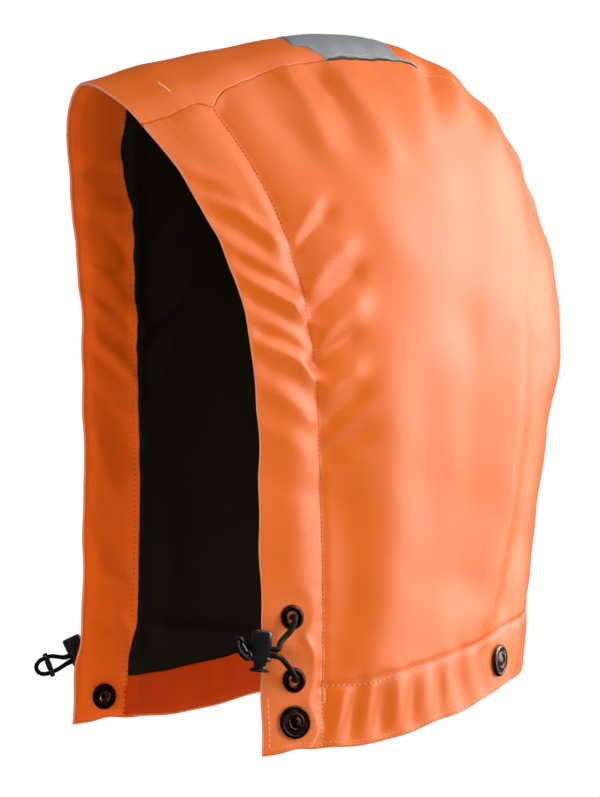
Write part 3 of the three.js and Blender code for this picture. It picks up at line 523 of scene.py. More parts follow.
class Nodes:
    def __init__(self, name):
        self.material = bpy.data.materials.new(name)
        self.material.use_nodes = True
        self.tree = self.material.node_tree
        self.shader = self.tree.nodes["Principled BSDF"]

    def new(self, kind, **values):
        node = self.tree.nodes.new(kind)
        for k, v in values.items():
            setattr(node, k, v)
        return node

    def link(self, a, b):
        self.tree.links.new(a, b)

    def math(self, operation, a, b=None, c=None):
        node = self.new("ShaderNodeMath", operation=operation)
        for i, v in enumerate((a, b, c)):
            if v is None:
                continue
            if isinstance(v, (int, float)):
                node.inputs[i].default_value = v
            else:
                self.link(v, node.inputs[i])
        return node.outputs[0]

    def noise(self, vector, scale, detail=2.0, roughness=0.5):
        node = self.new("ShaderNodeTexNoise")
        node.inputs["Scale"].default_value = scale
        node.inputs["Detail"].default_value = detail
        node.inputs["Roughness"].default_value = roughness
        self.link(vector, node.inputs["Vector"])
        return node.outputs["Fac"]

    def ramp(self, value, stops):
        node = self.new("ShaderNodeValToRGB")
        ramp = node.color_ramp
        while len(ramp.elements) < len(stops):
            ramp.elements.new(0.5)
        for e, (at, colour) in zip(ramp.elements, stops):
            e.position, e.color = at, colour
        self.link(value, node.inputs["Fac"])
        return node.outputs["Color"]

    def mix(self, fac, a, b, kind="MIX"):
        node = self.new("ShaderNodeMix", data_type="RGBA", blend_type=kind)
        for value, socket in ((fac, node.inputs[0]), (a, node.inputs[6]), (b, node.inputs[7])):
            if isinstance(value, (tuple, list, int, float)):
                socket.default_value = value
            else:
                self.link(value, socket)
        return node.outputs[2]

    def bump(self, height, distance, strength=1.0, after=None):
        node = self.new("ShaderNodeBump")
        node.inputs["Strength"].default_value = strength
        node.inputs["Distance"].default_value = distance
        self.link(height, node.inputs["Height"])
        if after is not None:
            self.link(after, node.inputs["Normal"])
        return node.outputs["Normal"]

    def set(self, **values):
        for k, v in values.items():
            self.shader.inputs[k.replace("_", " ")].default_value = v


def cloth_material(name, light, deep, pitch, turn, roughness, sheen, relief, specular=0.5, coarse=0.0, contrast=0.6):
    """Woven cloth: diagonal ribs over the cloth's own flat coordinates, mm pitch."""
    m = Nodes(name)
    uv = m.new("ShaderNodeUVMap", uv_map="cloth").outputs[0]
    parts = m.new("ShaderNodeSeparateXYZ")
    m.link(uv, parts.inputs[0])
    u, v = parts.outputs[0], parts.outputs[1]
    k = 2 * math.pi / (pitch * MM)
    across = m.math("ADD", m.math("MULTIPLY", u, k * math.cos(turn)), m.math("MULTIPLY", v, k * math.sin(turn)))
    along = m.math("ADD", m.math("MULTIPLY", u, -0.55 * k * math.sin(turn)), m.math("MULTIPLY", v, 0.55 * k * math.cos(turn)))
    rib = m.math("SINE", across)
    yarn = m.math("SINE", m.math("ADD", along, m.math("MULTIPLY", rib, 0.7)))
    weave = m.math("ADD", m.math("MULTIPLY", rib, 0.36), m.math("MULTIPLY", yarn, 0.14))
    place = m.new("ShaderNodeTexCoord").outputs["Object"]
    fibre = m.noise(place, 2600, 3, 0.6)
    cloudy = m.noise(place, 26, 3, 0.5)
    tone = m.math("ADD", m.math("MULTIPLY", weave, contrast), m.math("MULTIPLY_ADD", fibre, 0.30, 0.35))
    colour = m.mix(tone, deep, light)
    shade = m.ramp(cloudy, [(0.25, (0.93, 0.93, 0.93, 1)), (0.75, (1, 1, 1, 1))])
    colour = m.mix(1.0, colour, shade, "MULTIPLY")
    m.link(colour, m.shader.inputs["Base Color"])
    height = m.math("ADD", weave, m.math("MULTIPLY", fibre, 0.5))
    normal = m.bump(height, relief * MM, 1.0)
    if coarse:
        normal = m.bump(m.noise(place, 55, 3, 0.55), coarse * MM, 1.0, normal)
    m.link(normal, m.shader.inputs["Normal"])
    rough = m.math("MULTIPLY_ADD", fibre, 0.12, roughness - 0.06)
    m.link(rough, m.shader.inputs["Roughness"])
    m.shader.inputs["Specular IOR Level"].default_value = specular
    m.shader.inputs["Sheen Weight"].default_value = sheen
    m.shader.inputs["Sheen Roughness"].default_value = 0.4
    m.shader.inputs["Sheen Tint"].default_value = (1.0, 0.90, 0.84, 1)
    return m.material


shell_mat = cloth_material("orange_twill", (0.93, 0.185, 0.004, 1), (0.83, 0.125, 0.001, 1), 0.88, 0.76, 0.365, 0.06, 0.070,
                           0.82, 0.12, 1.0)
# the rolled front edge: a paler salmon copy of the twill, painted highlight where the fold catches the light
lip_highlight_mat = cloth_material("orange_twill_edge_painted_highlight", (0.95, 0.42, 0.29, 1), (0.90, 0.28, 0.16, 1), 0.88, 0.76, 0.5, 0.3, 0.03)
facing_mat = cloth_material("orange_twill_inside", (1.0, 0.165, 0.012, 1), (0.96, 0.105, 0.003, 1),
                            0.88, -0.76, 0.60, 0.0, 0.045, 0.08, 0.3)
# the same inside twill made darker for the strip along the hem: painted shade, where the near side keeps the key light
# off it
hem_facing_shaded_mat = cloth_material("orange_twill_inside_hem_painted_shade", (0.66, 0.062, 0.003, 1), (0.52, 0.034, 0.001, 1),
                                0.88, -0.76, 0.60, 0.0, 0.045, 0.08, 0.3)
lining_mat = cloth_material("dark_lining", (0.014, 0.012, 0.004, 1), (0.007, 0.006, 0.002, 1),
                            0.5, 0.8, 0.60, 0.0, 0.030, 0.20, 0.4)


def tape_material():
    m = cloth_material("reflective_tape", (0.36, 0.37, 0.39, 1), (0.23, 0.24, 0.25, 1), 0.45, 0.0, 0.42, 0.0, 0.02, 0.6)
    return m


tape_mat = tape_material()
# a dark strip along the tape's edge by the seam: painted shadow of the tape's edge
tape_shadow_strip_mat = cloth_material("tape_edge_painted_shadow", (0.075, 0.080, 0.065, 1), (0.03, 0.035, 0.03, 1), 0.4, 0.3, 0.7, 0.0, 0.02)


def thread_material(name, a, b):
    m = Nodes(name)
    place = m.new("ShaderNodeTexCoord").outputs["Object"]
    m.link(m.mix(m.noise(place, 900, 2), a, b), m.shader.inputs["Base Color"])
    m.set(Roughness=0.6)
    m.link(m.bump(m.noise(place, 5200, 2), 0.00004), m.shader.inputs["Normal"])
    return m.material


pale_thread = thread_material("thread_pale", (0.92, 0.36, 0.14, 1), (0.88, 0.54, 0.27, 1))
orange_thread = thread_material("thread_orange", (0.84, 0.130, 0.018, 1), (0.90, 0.175, 0.035, 1))
dark_thread = thread_material("thread_dark", (0.045, 0.020, 0.012, 1), (0.09, 0.03, 0.015, 1))
# dark dots between the stitches: painted shade in the needle holes
hole_shade_mat = thread_material("needle_hole_painted_shade", (0.10, 0.014, 0.003, 1), (0.20, 0.024, 0.004, 1))
seam_thread = thread_material("thread_seam", (0.20, 0.010, 0.001, 1), (0.42, 0.026, 0.003, 1))
pink_thread = thread_material("thread_pink", (0.92, 0.44, 0.28, 1), (0.90, 0.62, 0.46, 1))
cream_thread = thread_material("thread_cream", (0.62, 0.56, 0.36, 1), (0.80, 0.66, 0.42, 1))


def metal_material(name, base, worn, rough, bright=0.62):
    m = Nodes(name)
    place = m.new("ShaderNodeTexCoord").outputs["Object"]
    fine = m.noise(place, 2200, 4, 0.65)
    wide = m.noise(place, 420, 3, 0.5)
    worn_at = m.ramp(m.math("MULTIPLY", fine, m.math("MULTIPLY_ADD", wide, 1.2, 0.4)),
                     [(bright - 0.1, (0, 0, 0, 1)), (bright + 0.1, (1, 1, 1, 1))])
    m.link(m.mix(worn_at, base, worn), m.shader.inputs["Base Color"])
    m.set(Metallic=1.0)
    m.link(m.math("MULTIPLY_ADD", wide, 0.25, rough - 0.1), m.shader.inputs["Roughness"])
    m.link(m.bump(fine, 0.00003), m.shader.inputs["Normal"])
    return m.material


antique_mat = metal_material("antique_metal", (0.040, 0.018, 0.016, 1), (0.30, 0.155, 0.130, 1), 0.26, 0.68)
gun_mat = metal_material("gun_metal", (0.060, 0.036, 0.034, 1), (0.36, 0.26, 0.24, 1), 0.28, 0.6)
copper_mat = metal_material("copper_inside", (0.62, 0.24, 0.15, 1), (0.92, 0.62, 0.52, 1), 0.18, 0.5)


def plastic_material(name, rough):
    m = Nodes(name)
    place = m.new("ShaderNodeTexCoord").outputs["Object"]
    fine = m.noise(place, 1500, 3, 0.6)
    m.link(m.ramp(fine, [(0.3, (0.006, 0.007, 0.008, 1)), (0.8, (0.016, 0.018, 0.021, 1))]), m.shader.inputs["Base Color"])
    m.link(m.math("MULTIPLY_ADD", fine, 0.14, rough - 0.07), m.shader.inputs["Roughness"])
    m.set(Coat_Weight=0.5, Coat_Roughness=0.06, Specular_IOR_Level=0.5)
    m.link(m.bump(fine, 0.00003), m.shader.inputs["Normal"])
    return m.material


plastic_mat = plastic_material("black_plastic", 0.22)


def cord_material():
    m = Nodes("elastic_cord")
    place = m.new("ShaderNodeTexCoord").outputs["Object"]
    fine = m.noise(place, 3500, 3, 0.6)
    m.link(m.ramp(fine, [(0.3, (0.003, 0.002, 0.002, 1)), (0.8, (0.008, 0.006, 0.006, 1))]), m.shader.inputs["Base Color"])
    m.link(m.math("MULTIPLY_ADD", fine, 0.2, 0.40), m.shader.inputs["Roughness"])
    m.set(Specular_IOR_Level=0.22)
    m.link(m.bump(fine, 0.00004), m.shader.inputs["Normal"])
    return m.material


cord_mat = cord_material()


def give(o, *materials):
    index = np.zeros(len(o.data.polygons), np.int32)
    o.data.polygons.foreach_get("material_index", index)
    o.data.materials.clear()
    for m in materials:
        o.data.materials.append(m)
    if len(materials) > 1:
        o.data.polygons.foreach_set("material_index", index)
    return o


# -------------------------------------------------- frames of the fittings
def surface_frame(side, y, z):
    """origin on the smooth form, and axes x, n (outward), z as columns"""
    p = np.array([side * float(surface_x(y, z)), y, z])
    n = normals_at(p)
    turn = Vector((0, 1, 0)).rotation_difference(Vector(n)).to_matrix()
    return p, np.array(turn)


def frame_from(centre, x, y):
    vy = np.array(y, float) / np.linalg.norm(y)
    vz = np.cross(x, vy)
    vz /= np.linalg.norm(vz)
    return np.array(centre, float), np.stack([np.cross(vy, vz), vy, vz], 1)


def place(local, at):
    return at[0] + np.asarray(local, float) @ at[1].T


# ------------------------------------------------------------------- cords
LOCKS = {
    "left": dict(centre=(111.9, -87.9, -283.65), axis=(0.038, 0.084, 0.996), through=(-0.346, -0.934, 0.089),
                 stop=(116.6, -99.2, -284.15), bar=(-0.223, -0.451, 0.864), loop=(0.751, -0.645, -0.142)),
    "right": dict(centre=(-111.8, -82.9, -297.55), axis=(-0.188, -0.379, 0.906), through=(-0.240, -0.890, -0.390),
                  stop=(-112.4, -97.4, -304.55), bar=(-0.159, -0.32, 0.934), loop=(-0.409, -0.84, -0.357)),
}
ROUTES = {
    "left": [
        (102.9, -68.93, -271.48), (105.1, -69.02, -271.37), (107.09, -69.11, -271.27), (109.2, -69.6, -270.95),
        (110.9, -72.2, -276.55), (111.9, -78, -281.75), (114.45, -80.98, -285.39), (113.42, -83.79, -285.11),
        (111.86, -87.99, -284.7), (110.3, -92.19, -284.28), (109.68, -93.87, -284.12), (114.1, -99.5, -280.55),
        (115.75, -100.91, -280.87), (117.1, -102.07, -281.12), (119.02, -103.4, -281.9), (120.68, -103.92, -283.36),
        (121.56, -103.45, -285.09), (121.53, -102.21, -286.65), (120.49, -100.42, -287.6), (118.8, -98.65, -287.69),
        (117.45, -97.49, -287.43), (115.8, -96.07, -287.12), (109.57, -94.11, -287), (110.19, -92.43, -287.17),
        (111.75, -88.23, -287.58), (113.31, -84.03, -288), (114.34, -81.23, -288.27), (111.9, -77.6, -289.75),
        (111.4, -73.4, -294.15), (110.4, -70, -299.15), (108.66, -68.89, -299.75), (106.66, -68.82, -299.86),
        (104.47, -68.75, -299.99)],
    "right": [
        (-102.9, -68.93, -271.48), (-105.1, -69.02, -271.37), (-107.09, -69.11, -271.27), (-109.2, -69.4, -271.95),
        (-111.2, -68.9, -278.95), (-111.8, -71.2, -286.95), (-109.84, -75.91, -295.38), (-110.55, -78.55, -296.63),
        (-111.6, -82.5, -298.5), (-112.66, -86.46, -300.37), (-113.08, -88.04, -301.12), (-112.1, -96.77, -300.21),
        (-113, -98.62, -301), (-113.74, -100.13, -301.64), (-114.64, -101.98, -302.97), (-115.16, -103.05, -304.92),
        (-115.1, -102.94, -306.91), (-114.55, -101.83, -308.47), (-113.59, -99.87, -309.13), (-112.53, -97.7, -308.74),
        (-111.8, -96.18, -308.1), (-110.9, -94.34, -307.31), (-112.53, -86.94, -303.75), (-112.11, -85.36, -303),
        (-111.06, -81.4, -301.13), (-110, -77.45, -299.26), (-109.3, -74.81, -298.01), (-112.6, -71.4, -295.85),
        (-112, -68, -298.35), (-110.3, -67.8, -299.75), (-108.66, -68.89, -299.75), (-106.66, -68.82, -299.86),
        (-104.47, -68.75, -299.99)],
}
CORD_RADIUS = 1.3


def through(points, per=24):
    """centripetal Catmull-Rom curve through the points"""
    p = np.array(points, float)
    p = np.concatenate([[2 * p[0] - p[1]], p, [2 * p[-1] - p[-2]]])
    out = []
    for i in range(1, len(p) - 2):
        a, b, c, d = p[i - 1:i + 3]
        t1 = np.linalg.norm(b - a) ** 0.5
        t2 = t1 + np.linalg.norm(c - b) ** 0.5
        t3 = t2 + np.linalg.norm(d - c) ** 0.5
        t = np.linspace(t1, t2, per, endpoint=False)[:, None]
        a1 = (t1 - t) / t1 * a + t / t1 * b
        a2 = (t2 - t) / (t2 - t1) * b + (t - t1) / (t2 - t1) * c
        a3 = (t3 - t) / (t3 - t2) * c + (t - t2) / (t3 - t2) * d
        b1 = (t2 - t) / t2 * a1 + t / t2 * a2
        b2 = (t3 - t) / (t3 - t1) * a2 + (t - t1) / (t3 - t1) * a3
        out.append((t2 - t) / (t2 - t1) * b1 + (t - t1) / (t2 - t1) * b2)
    return np.concatenate(out + [p[-2:-1]])


def soften(p, times, keep_ends=6):
    """evens out small kinks, the ends staying where they are"""
    q = p.copy()
    for _ in range(times):
        r = q.copy()
        r[1:-1] = (q[:-2] + 2 * q[1:-1] + q[2:]) / 4
        r[:keep_ends], r[-keep_ends:] = p[:keep_ends], p[-keep_ends:]
        q = r
    return q


def swept_frames(p):
    t = np.gradient(p, axis=0)
    t /= np.linalg.norm(t, axis=1, keepdims=True)
    u = np.zeros_like(p)
    first = np.cross(t[0], (0.3, 0.2, 0.9))
    u[0] = first / np.linalg.norm(first)
    for i in range(1, len(p)):
        v = u[i - 1] - t[i] * (u[i - 1] @ t[i])
        u[i] = v / np.linalg.norm(v)
    return t, u, np.cross(t, u)


def tube(name, p, radius, around):
    """a tube along p; radius is a function of (angle, length along), mm"""
    t, u, v = swept_frames(p)
    s = np.concatenate([[0], np.cumsum(np.linalg.norm(np.diff(p, axis=0), axis=1))])
    a = np.linspace(0, 2 * math.pi, around, endpoint=False)
    aa, ss = np.meshgrid(a, s)
    r = radius(aa, ss)[..., None]
    verts = p[:, None] + r * (np.cos(aa)[..., None] * u[:, None] + np.sin(aa)[..., None] * v[:, None])
    n = len(p)
    i, j = np.meshgrid(np.arange(n - 1), np.arange(around), indexing="ij")
    a0, b0 = i * around + j, i * around + (j + 1) % around
    faces = np.stack([a0, b0, b0 + around, a0 + around], -1).reshape(-1, 4).tolist()
    faces += [list(range(around))[::-1], [(n - 1) * around + k for k in range(around)]]
    return make_mesh(name, verts.reshape(-1, 3), faces)


def braid(a, s):
    k = 2 * math.pi / 2.3
    one, two = np.cos(6 * a + k * s), np.cos(6 * a - k * s)
    over = np.cos(3 * a) * np.cos(k * s / 2)
    return CORD_RADIUS + 0.075 * np.where(over > 0, np.maximum(one, two * 0.6), np.maximum(two, one * 0.6))


cords = {}
cord_paths = {}
for which, route in ROUTES.items():
    path = soften(resample(through(route), 420), 26)
    cord_paths[which] = path
    beyond = (path - np.array(LOCKS[which]["centre"])) @ np.array(LOCKS[which]["through"])
    run = np.concatenate([[0], np.cumsum(np.linalg.norm(np.diff(path, axis=0), axis=1))])
    thin = 1 - 0.20 * smoothstep(beyond, 5, 9)  # drawn thinner where it is pulled into the loop
    cords[which] = give(tube(f"cord_{which}", path, lambda a, s, r=run, t=thin: braid(a, s) * np.interp(s, r, t), 40), cord_mat)

# ------------------------------------------------------------ cloth panels
SHELL = 1.0            # wall of the shell
LIP = 0.85             # radius of the rolled front edge and hem
SEAM_ROUND = 0.75
EDGE_OFFSETS = [0, 0.05, 0.18, 0.4, 0.7, 1.0, 1.4, 1.9, 2.5, 3.2, 4.0]
SEAM_OFFSETS = [0, 0.12, 0.3, 0.55, 0.85, 1.3, 1.9, 2.7]


def rolled(d, radius):
    """How far a rounded edge has fallen at a distance d from it."""
    t = np.clip(1 - d / radius, 0, 1)
    return radius * (1 - np.sqrt(np.maximum(1 - t ** 2, 0)))


def shell_depths(d_edge, d_seam):
    lip = rolled(d_edge, LIP)
    thick = SHELL + (2 * LIP - SHELL) * (1 - smoothstep(d_edge, 2.2, 3.6))
    top = -lip
    bottom = -(thick - lip)
    fall = rolled(d_seam, SEAM_ROUND)
    return top - np.where(d_edge > 1.0, fall, fall * d_edge), bottom - 0.35 * fall


def edge_distance(p):
    """across the cloth to the front edge and to the hem"""
    y, z = p[..., 1], p[..., 2]
    slope = (edge_at(z + 1) - edge_at(z - 1)) / 2
    front = (y - edge_at(z)) / np.sqrt(1 + slope ** 2)
    return front, z - hem_at(y)


def corner_forward(p):
    """The right front corner hangs a little further forward."""
    y = p[..., 1] - 1.9 * smoothstep(-p[..., 2], 293, 306) * (1 - smoothstep(p[..., 1], -85, -74)) * (p[..., 0] < 0)
    return np.where((p[..., 1] != y)[..., None], np.stack([np.sign(p[..., 0]) * surface_x(y, p[..., 2]), y, p[..., 2]], -1), p)


panels = {}
for side, which in ((1, "left"), (-1, "right")):
    U, V = spread(132, 214, EDGE_OFFSETS, EDGE_OFFSETS, SEAM_OFFSETS, SEAM_OFFSETS, 150.0, 285.0)
    P = side_grid(side, edge_at, hem_at, U, V)
    if side < 0:
        P = corner_forward(P)
    N = normals_at(P)
    wide = np.linalg.norm(np.diff(P, axis=0), axis=-1).sum(0)[None, :]
    high = np.linalg.norm(np.diff(P, axis=1), axis=-1).sum(1)[:, None]
    d_edge = np.minimum(np.maximum(U * wide, 0), np.maximum(V * high, 0))
    d_seam = np.minimum((1 - U) * wide, (1 - V) * high)
    top, bottom = shell_depths(d_edge, d_seam)
    L = shell_lift(P)
    # the strip along the front edge takes the paler edge material: painted highlight of the rolled lip
    panels[which] = wall(f"shell_side_{which}", P, N, L + top, L + bottom, cloth_uv(P),
                         (U * wide < 0.62) & (d_seam > 0.9))

W1 = near_edges(70.0, SEAM_OFFSETS, SEAM_OFFSETS, 44) * 2 - 1
T1 = near_edges(430.0, EDGE_OFFSETS, EDGE_OFFSETS, 300)
W, T = np.meshgrid(W1, T1, indexing="ij")
P = centre_grid(edge_at, hem_at, W, T)
N = normals_at(P)
long = np.linalg.norm(np.diff(P, axis=1), axis=-1).sum(1)[:, None]
across = np.linalg.norm(np.diff(P, axis=0), axis=-1).sum(0)[None, :]
d_edge = np.minimum(T * long, (1 - T) * long)
d_seam = np.minimum((W + 1) / 2 * across, (1 - W) / 2 * across)
top, bottom = shell_depths(d_edge, d_seam)
L = shell_lift(P)
# the strip along the front edge takes the paler edge material: painted highlight of the rolled lip
panels["centre"] = wall("shell_centre", P, N, L + top, L + bottom, cloth_uv(P), (T * long < 0.75) & (d_seam > 0.5))
for o in panels.values():
    give(o, shell_mat, lip_highlight_mat)

# ------------------------------------------------------------- inner cloth
# creases of the strip inside the face opening: x and z of two points, by side
FACING_CREASES = [
    (-1, -107, -61, -81, -54, 5.0, 1.9), (-1, -102, -68, -76, -66, 4.2, -2.0), (-1, -99, -83, -72, -78, 4.6, 2.2),
    (-1, -97, -89, -68, -93, 4.4, -2.0), (-1, -90, -108, -66, -112, 5.0, 0.9), (-1, -88, -125, -63, -133, 3.8, 1.5),
    (-1, -82, -144, -61, -160, 3.6, 1.3), (-1, -80, -150, -63, -168, 3.2, -1.2), (-1, -77, -199, -71, -214, 5.5, 0.9),
    (-1, -101, -67.5, -88, -68.4, 1.3, 1.1), (-1, -97, -90, -79, -92.6, 1.3, 1.3), (-1, -90, -108.5, -73, -105.6, 1.4, 0.9),
    (-1, -77, -253, -71, -273, 5.0, 0.8), (-1, -82, -273, -55, -293, 4.0, -0.9), (-1, -70, -225, -62, -240, 6.0, -0.6),
    (1, -104, -66, -78, -62, 4.6, 1.6), (1, -98, -84, -70, -84, 4.4, -1.7), (1, -92, -104, -66, -110, 4.6, 1.4),
    (1, -85, -140, -62, -152, 4.0, -1.2), (1, -80, -180, -60, -190, 5.0, 0.9), (1, -78, -236, -58, -246, 5.0, 0.8),
]


def facing_lift(p):
    x, y, z = p[..., 0], p[..., 1], p[..., 2]
    total = 0.8 * shell_lift(p)
    wy, wz = y + 0.8 * np.sin(z / 9 + 1), z + 1.2 * np.sin(y / 7.0)
    inside = smoothstep(y - edge_smooth(z), 1.5, 7)
    for i, (side, y1, z1, y2, z2, width, height) in enumerate(FACING_CREASES):
        r = ridge(wy, wz, y1, z1, y2, z2, width, 0.1, 0.35)
        total -= np.where(side * x > 0, 1, 0) * height * r * inside * 1.6
    total += 0.25 * np.sin(z / 6.5 + y / 9) * inside * np.sin(z / 31)
    total = total * (0.15 + 0.85 * flat_near_fittings(p, 6.5, 12))
    return np.minimum(total, shell_lift(p) + 0.1)  # never through the shell


def lining_lift(p):
    x, y, z = p[..., 0], p[..., 1], p[..., 2]
    a = np.arctan2(y - CENTRE_Y, x)
    soft = 1.3 * (0.5 + 0.5 * np.sin(z / 15 + 2.4 * np.sin(a * 2) + 0.8 * x / 40)) \
        + 0.8 * (0.5 + 0.5 * np.sin(z / 7.5 + 3.1 * a + np.sin(z / 26)))
    drape = 1.1 * (0.5 + 0.5 * np.sin(a * 9 + 1.6 * np.sin(z / 38)))
    s = smoothstep(seam_distance(p), -14, 10)
    under = 1 - smoothstep(y - facing_at(z), 1, 14)  # held by the strip along its edge
    free = smoothstep(y - facing_at(z), 0, 20) * smoothstep(z - hem_smooth(y), 24, 36)
    # a slack fold hangs over the strip along the hem
    slack = 285 + 0.06 * (y + 50) + 2 * np.sin(y / 26)
    sag = 3.0 * smoothstep(-z - slack, -1.5, 3.0) * (1 - smoothstep(-z - slack, 3.0, 20)) - 0.9 * np.exp(-((z + slack - 5) / 3.5) ** 2)
    inward = (soft + drape) * (0.35 + 0.65 * s) + sag
    lift = under * facing_lift(p) + (1 - under) * (0.85 * shell_lift(p) - inward * free)
    return np.minimum(lift, shell_lift(p))


def lining_tuck(p):
    """Where the lining runs under the strips it lies closer to the shell."""
    return 0.3 * np.maximum(1 - smoothstep(p[..., 1] - facing_at(p[..., 2]), 0.5, 4),
                            1 - smoothstep(p[..., 2] - hem_smooth(p[..., 1]), 24, 27))


def facing_low(z):
    """The facing narrows towards its lower end."""
    return facing_at(z) - 3.3 * smoothstep(-z, 282, 304)


def gathered(p):
    """The facing's inner edge is drawn in where it buckles under the crown."""
    z = p[:, 2]
    in_by = 3.9 * np.exp(-((z + 52) / 9.5) ** 2) + 1.0 * np.exp(-((z + 66) / 6) ** 2) - 0.8 * np.exp(-((z + 92) / 9) ** 2)
    q = p.copy()
    q[:, 1] -= np.where(p[:, 0] < 0, in_by, 0.4 * in_by) + 3.3 * smoothstep(-z, 282, 304)
    return q


def strip_grid(outer, inner, across):
    c = np.asarray(across)[None, :, None]
    return onto_surface(outer[:, None] + (inner - outer)[:, None] * c)


across = np.array([0.0, 0.006, 0.02, 0.045, 0.08, 0.12, 0.18, 0.25, 0.33, 0.41, 0.49, 0.57, 0.65, 0.73, 0.80, 0.86, 0.91,
                   0.945, 0.965, 0.98, 0.992, 1.0])
inner_line = arch_curve(facing_at, lambda y: hem_at(y) + 1.2, 520)
inner_line = gathered(inner_line)
P = strip_grid(corner_forward(arch_curve(lambda z: edge_at(z) + 1.3, lambda y: hem_at(y) + 1.2, 520)), inner_line, across)
N = normals_at(P)
d_front, d_hem = edge_distance(P)
start = smoothstep(d_front, 1.2, 5.5) * smoothstep(d_hem, 1.0, 4.0)
c = across[None, :] * np.ones(P.shape[:2])
bulge = 0.9 * np.sin(math.pi * np.clip((c - 0.05) / 0.9, 0, 1)) * start
end = 1 - smoothstep(c, 0.955, 1.0) ** 2
L = facing_lift(P)
bottom = -(1.9 + 1.5 * start + bulge)
top = -(1.6 + 0.9 * start + bulge * 0.6)
mid = (top + bottom) / 2
top, bottom = mid + (top - mid) * np.maximum(end, 0.12), mid + (bottom - mid) * np.maximum(end, 0.12)
facing = give(wall("facing_face", P, N, L + top, L + bottom, cloth_uv(P)), facing_mat)
facing_depth = 3.4

P = strip_grid(neck_curve(lambda y: 1.2, lambda z: facing_low(z) - 2, 360),
               neck_curve(lambda y: 23.4 - 2.2 * smoothstep(-y, 24, 56), lambda z: facing_low(z) - 2, 360), across)
N = normals_at(P)
d_front, d_hem = edge_distance(P)
start = smoothstep(d_hem, 1.2, 4.5)
c = across[None, :] * np.ones(P.shape[:2])
end = 1 - smoothstep(c, 0.955, 1.0) ** 2
L = 0.85 * shell_lift(P) - (0.5 + 0.5 * np.sin(P[..., 0] / 9 + P[..., 1] / 14)) * 0.7 * np.sin(math.pi * c)
tuck = smoothstep(P[..., 1] - facing_low(P[..., 2]), -1.2, 1.6)
bottom = -(1.9 + 1.5 * start * (0.1 + 0.9 * tuck))
top = -(1.6 + 0.9 * start * (0.1 + 0.9 * tuck))
mid = (top + bottom) / 2
top, bottom = mid + (top - mid) * np.maximum(end, 0.12), mid + (bottom - mid) * np.maximum(end, 0.12)
hem_facing = give(wall("facing_hem", P, N, L + top, L + bottom, cloth_uv(P)), hem_facing_shaded_mat)

lining_parts = []
for side, which in ((1, "left"), (-1, "right")):
    U, V = np.meshgrid(np.linspace(0, 1, 84), np.linspace(0, 1, 132), indexing="ij")
    P = side_grid(side, lambda z: facing_at(z) - 7, lambda y: hem_smooth(y) + 18, U, V)
    L = lining_lift(P) + lining_tuck(P)
    lining_parts.append(wall(f"lining_{which}", P, normals_at(P), L - 2.1, L - 2.6, cloth_uv(P)))
W, T = np.meshgrid(np.linspace(-1, 1, 36), np.linspace(0, 1, 190), indexing="ij")
P = centre_grid(lambda z: facing_at(z) - 7, lambda y: hem_smooth(y) + 18, W, T)
L = lining_lift(P) + lining_tuck(P)
lining_parts.append(wall("lining_centre", P, normals_at(P), L - 2.1, L - 2.6, cloth_uv(P)))
for o in lining_parts:
    give(o, lining_mat)

# --------------------------------------------------------- reflective tape
def tape_start(w):
    """Angle of the tape's front end across its width; the seam's fold covers its corners."""
    w = np.abs(w)
    return 86.5 + 1.3 * w - 2.1 * smoothstep(w, 0.60, 0.70) - 1.8 * smoothstep(w, 0.70, 1.0)


def tape_stop(w):
    w = np.abs(w)
    return 73.0 - 1.2 * w ** 2 - 3.4 * smoothstep(w, 0.86, 1.0) ** 2


def tape_grid(w, count, back_off=0.0):
    t = np.linspace(0, 1, count)
    ww, tt = np.meshgrid(w, t, indexing="ij")
    aa = (tape_start(ww) - back_off + (tape_stop(ww) + back_off - tape_start(ww) + back_off) * tt) * RAD
    p = on_ray(np.abs(ww) * half_at(aa), aa)
    p[..., 0] *= np.where(ww < 0, -1, 1)
    return p


def tape_lift(p):
    a = np.arctan2(p[..., 2] - CENTRE_Z, p[..., 1] - CENTRE_Y) / RAD
    s = seam_distance(p)
    return shell_lift(p) + 0.25 * np.exp(-0.5 * ((s + 7) / 4) ** 2) * np.sin(a * 1.7) + 0.12 * np.sin(p[..., 0] / 4 + a)


wide_w = near_edges(2.0, [0, 0.004, 0.012, 0.03], [0, 0.004, 0.012, 0.03], 90) * 2 - 1
P = tape_grid(wide_w, 72)
N = normals_at(P)
rim = np.minimum(np.arange(72), np.arange(72)[::-1])[None, :] * np.ones((len(wide_w), 1))
L = tape_lift(P)
drop = rolled((1 - np.abs(wide_w))[:, None] * 34 + 0 * rim, 0.8)
tape = give(wall("tape", P, N, L + np.where(rim < 1, 0.22, 0.5) - drop, L - 0.15 - drop, cloth_uv(P)), tape_mat)
# dark strips along each seam side of the tape stand in for the shadow of the tape's edge: painted shadow
tape_shadow_strips = []
for sign, which in ((1, "left"), (-1, "right")):
    t = np.linspace(0, 1, 7)[:, None]
    a = np.linspace(83.6, 68.6, 110)[None, :]
    width = 0.010 + 0.026 * np.exp(-0.5 * ((a - 81.0) / 1.7) ** 2) + 0.007 * np.exp(-0.5 * ((a - 75.5) / 1.6) ** 2)
    width = width * smoothstep(a, 68.4, 69.6) * smoothstep(83.8 - a, 0, 0.5)
    w = 1.004 - width * (1 - t)
    P = on_ray(w * half_at(a * RAD), a * RAD + 0 * w)
    P[..., 0] *= sign
    N = normals_at(P)
    L = tape_lift(P)
    rise = 0.30 + 0.55 * np.sin(math.pi * np.clip(t * 0.9 + 0.05, 0, 1)) * smoothstep(width, 0.004, 0.02)
    tape_shadow_strips.append(give(wall(f"tape_edge_{which}", P, N, L + rise - 0.35 * t, L - 0.4 + 0 * rise, cloth_uv(P)), tape_shadow_strip_mat))

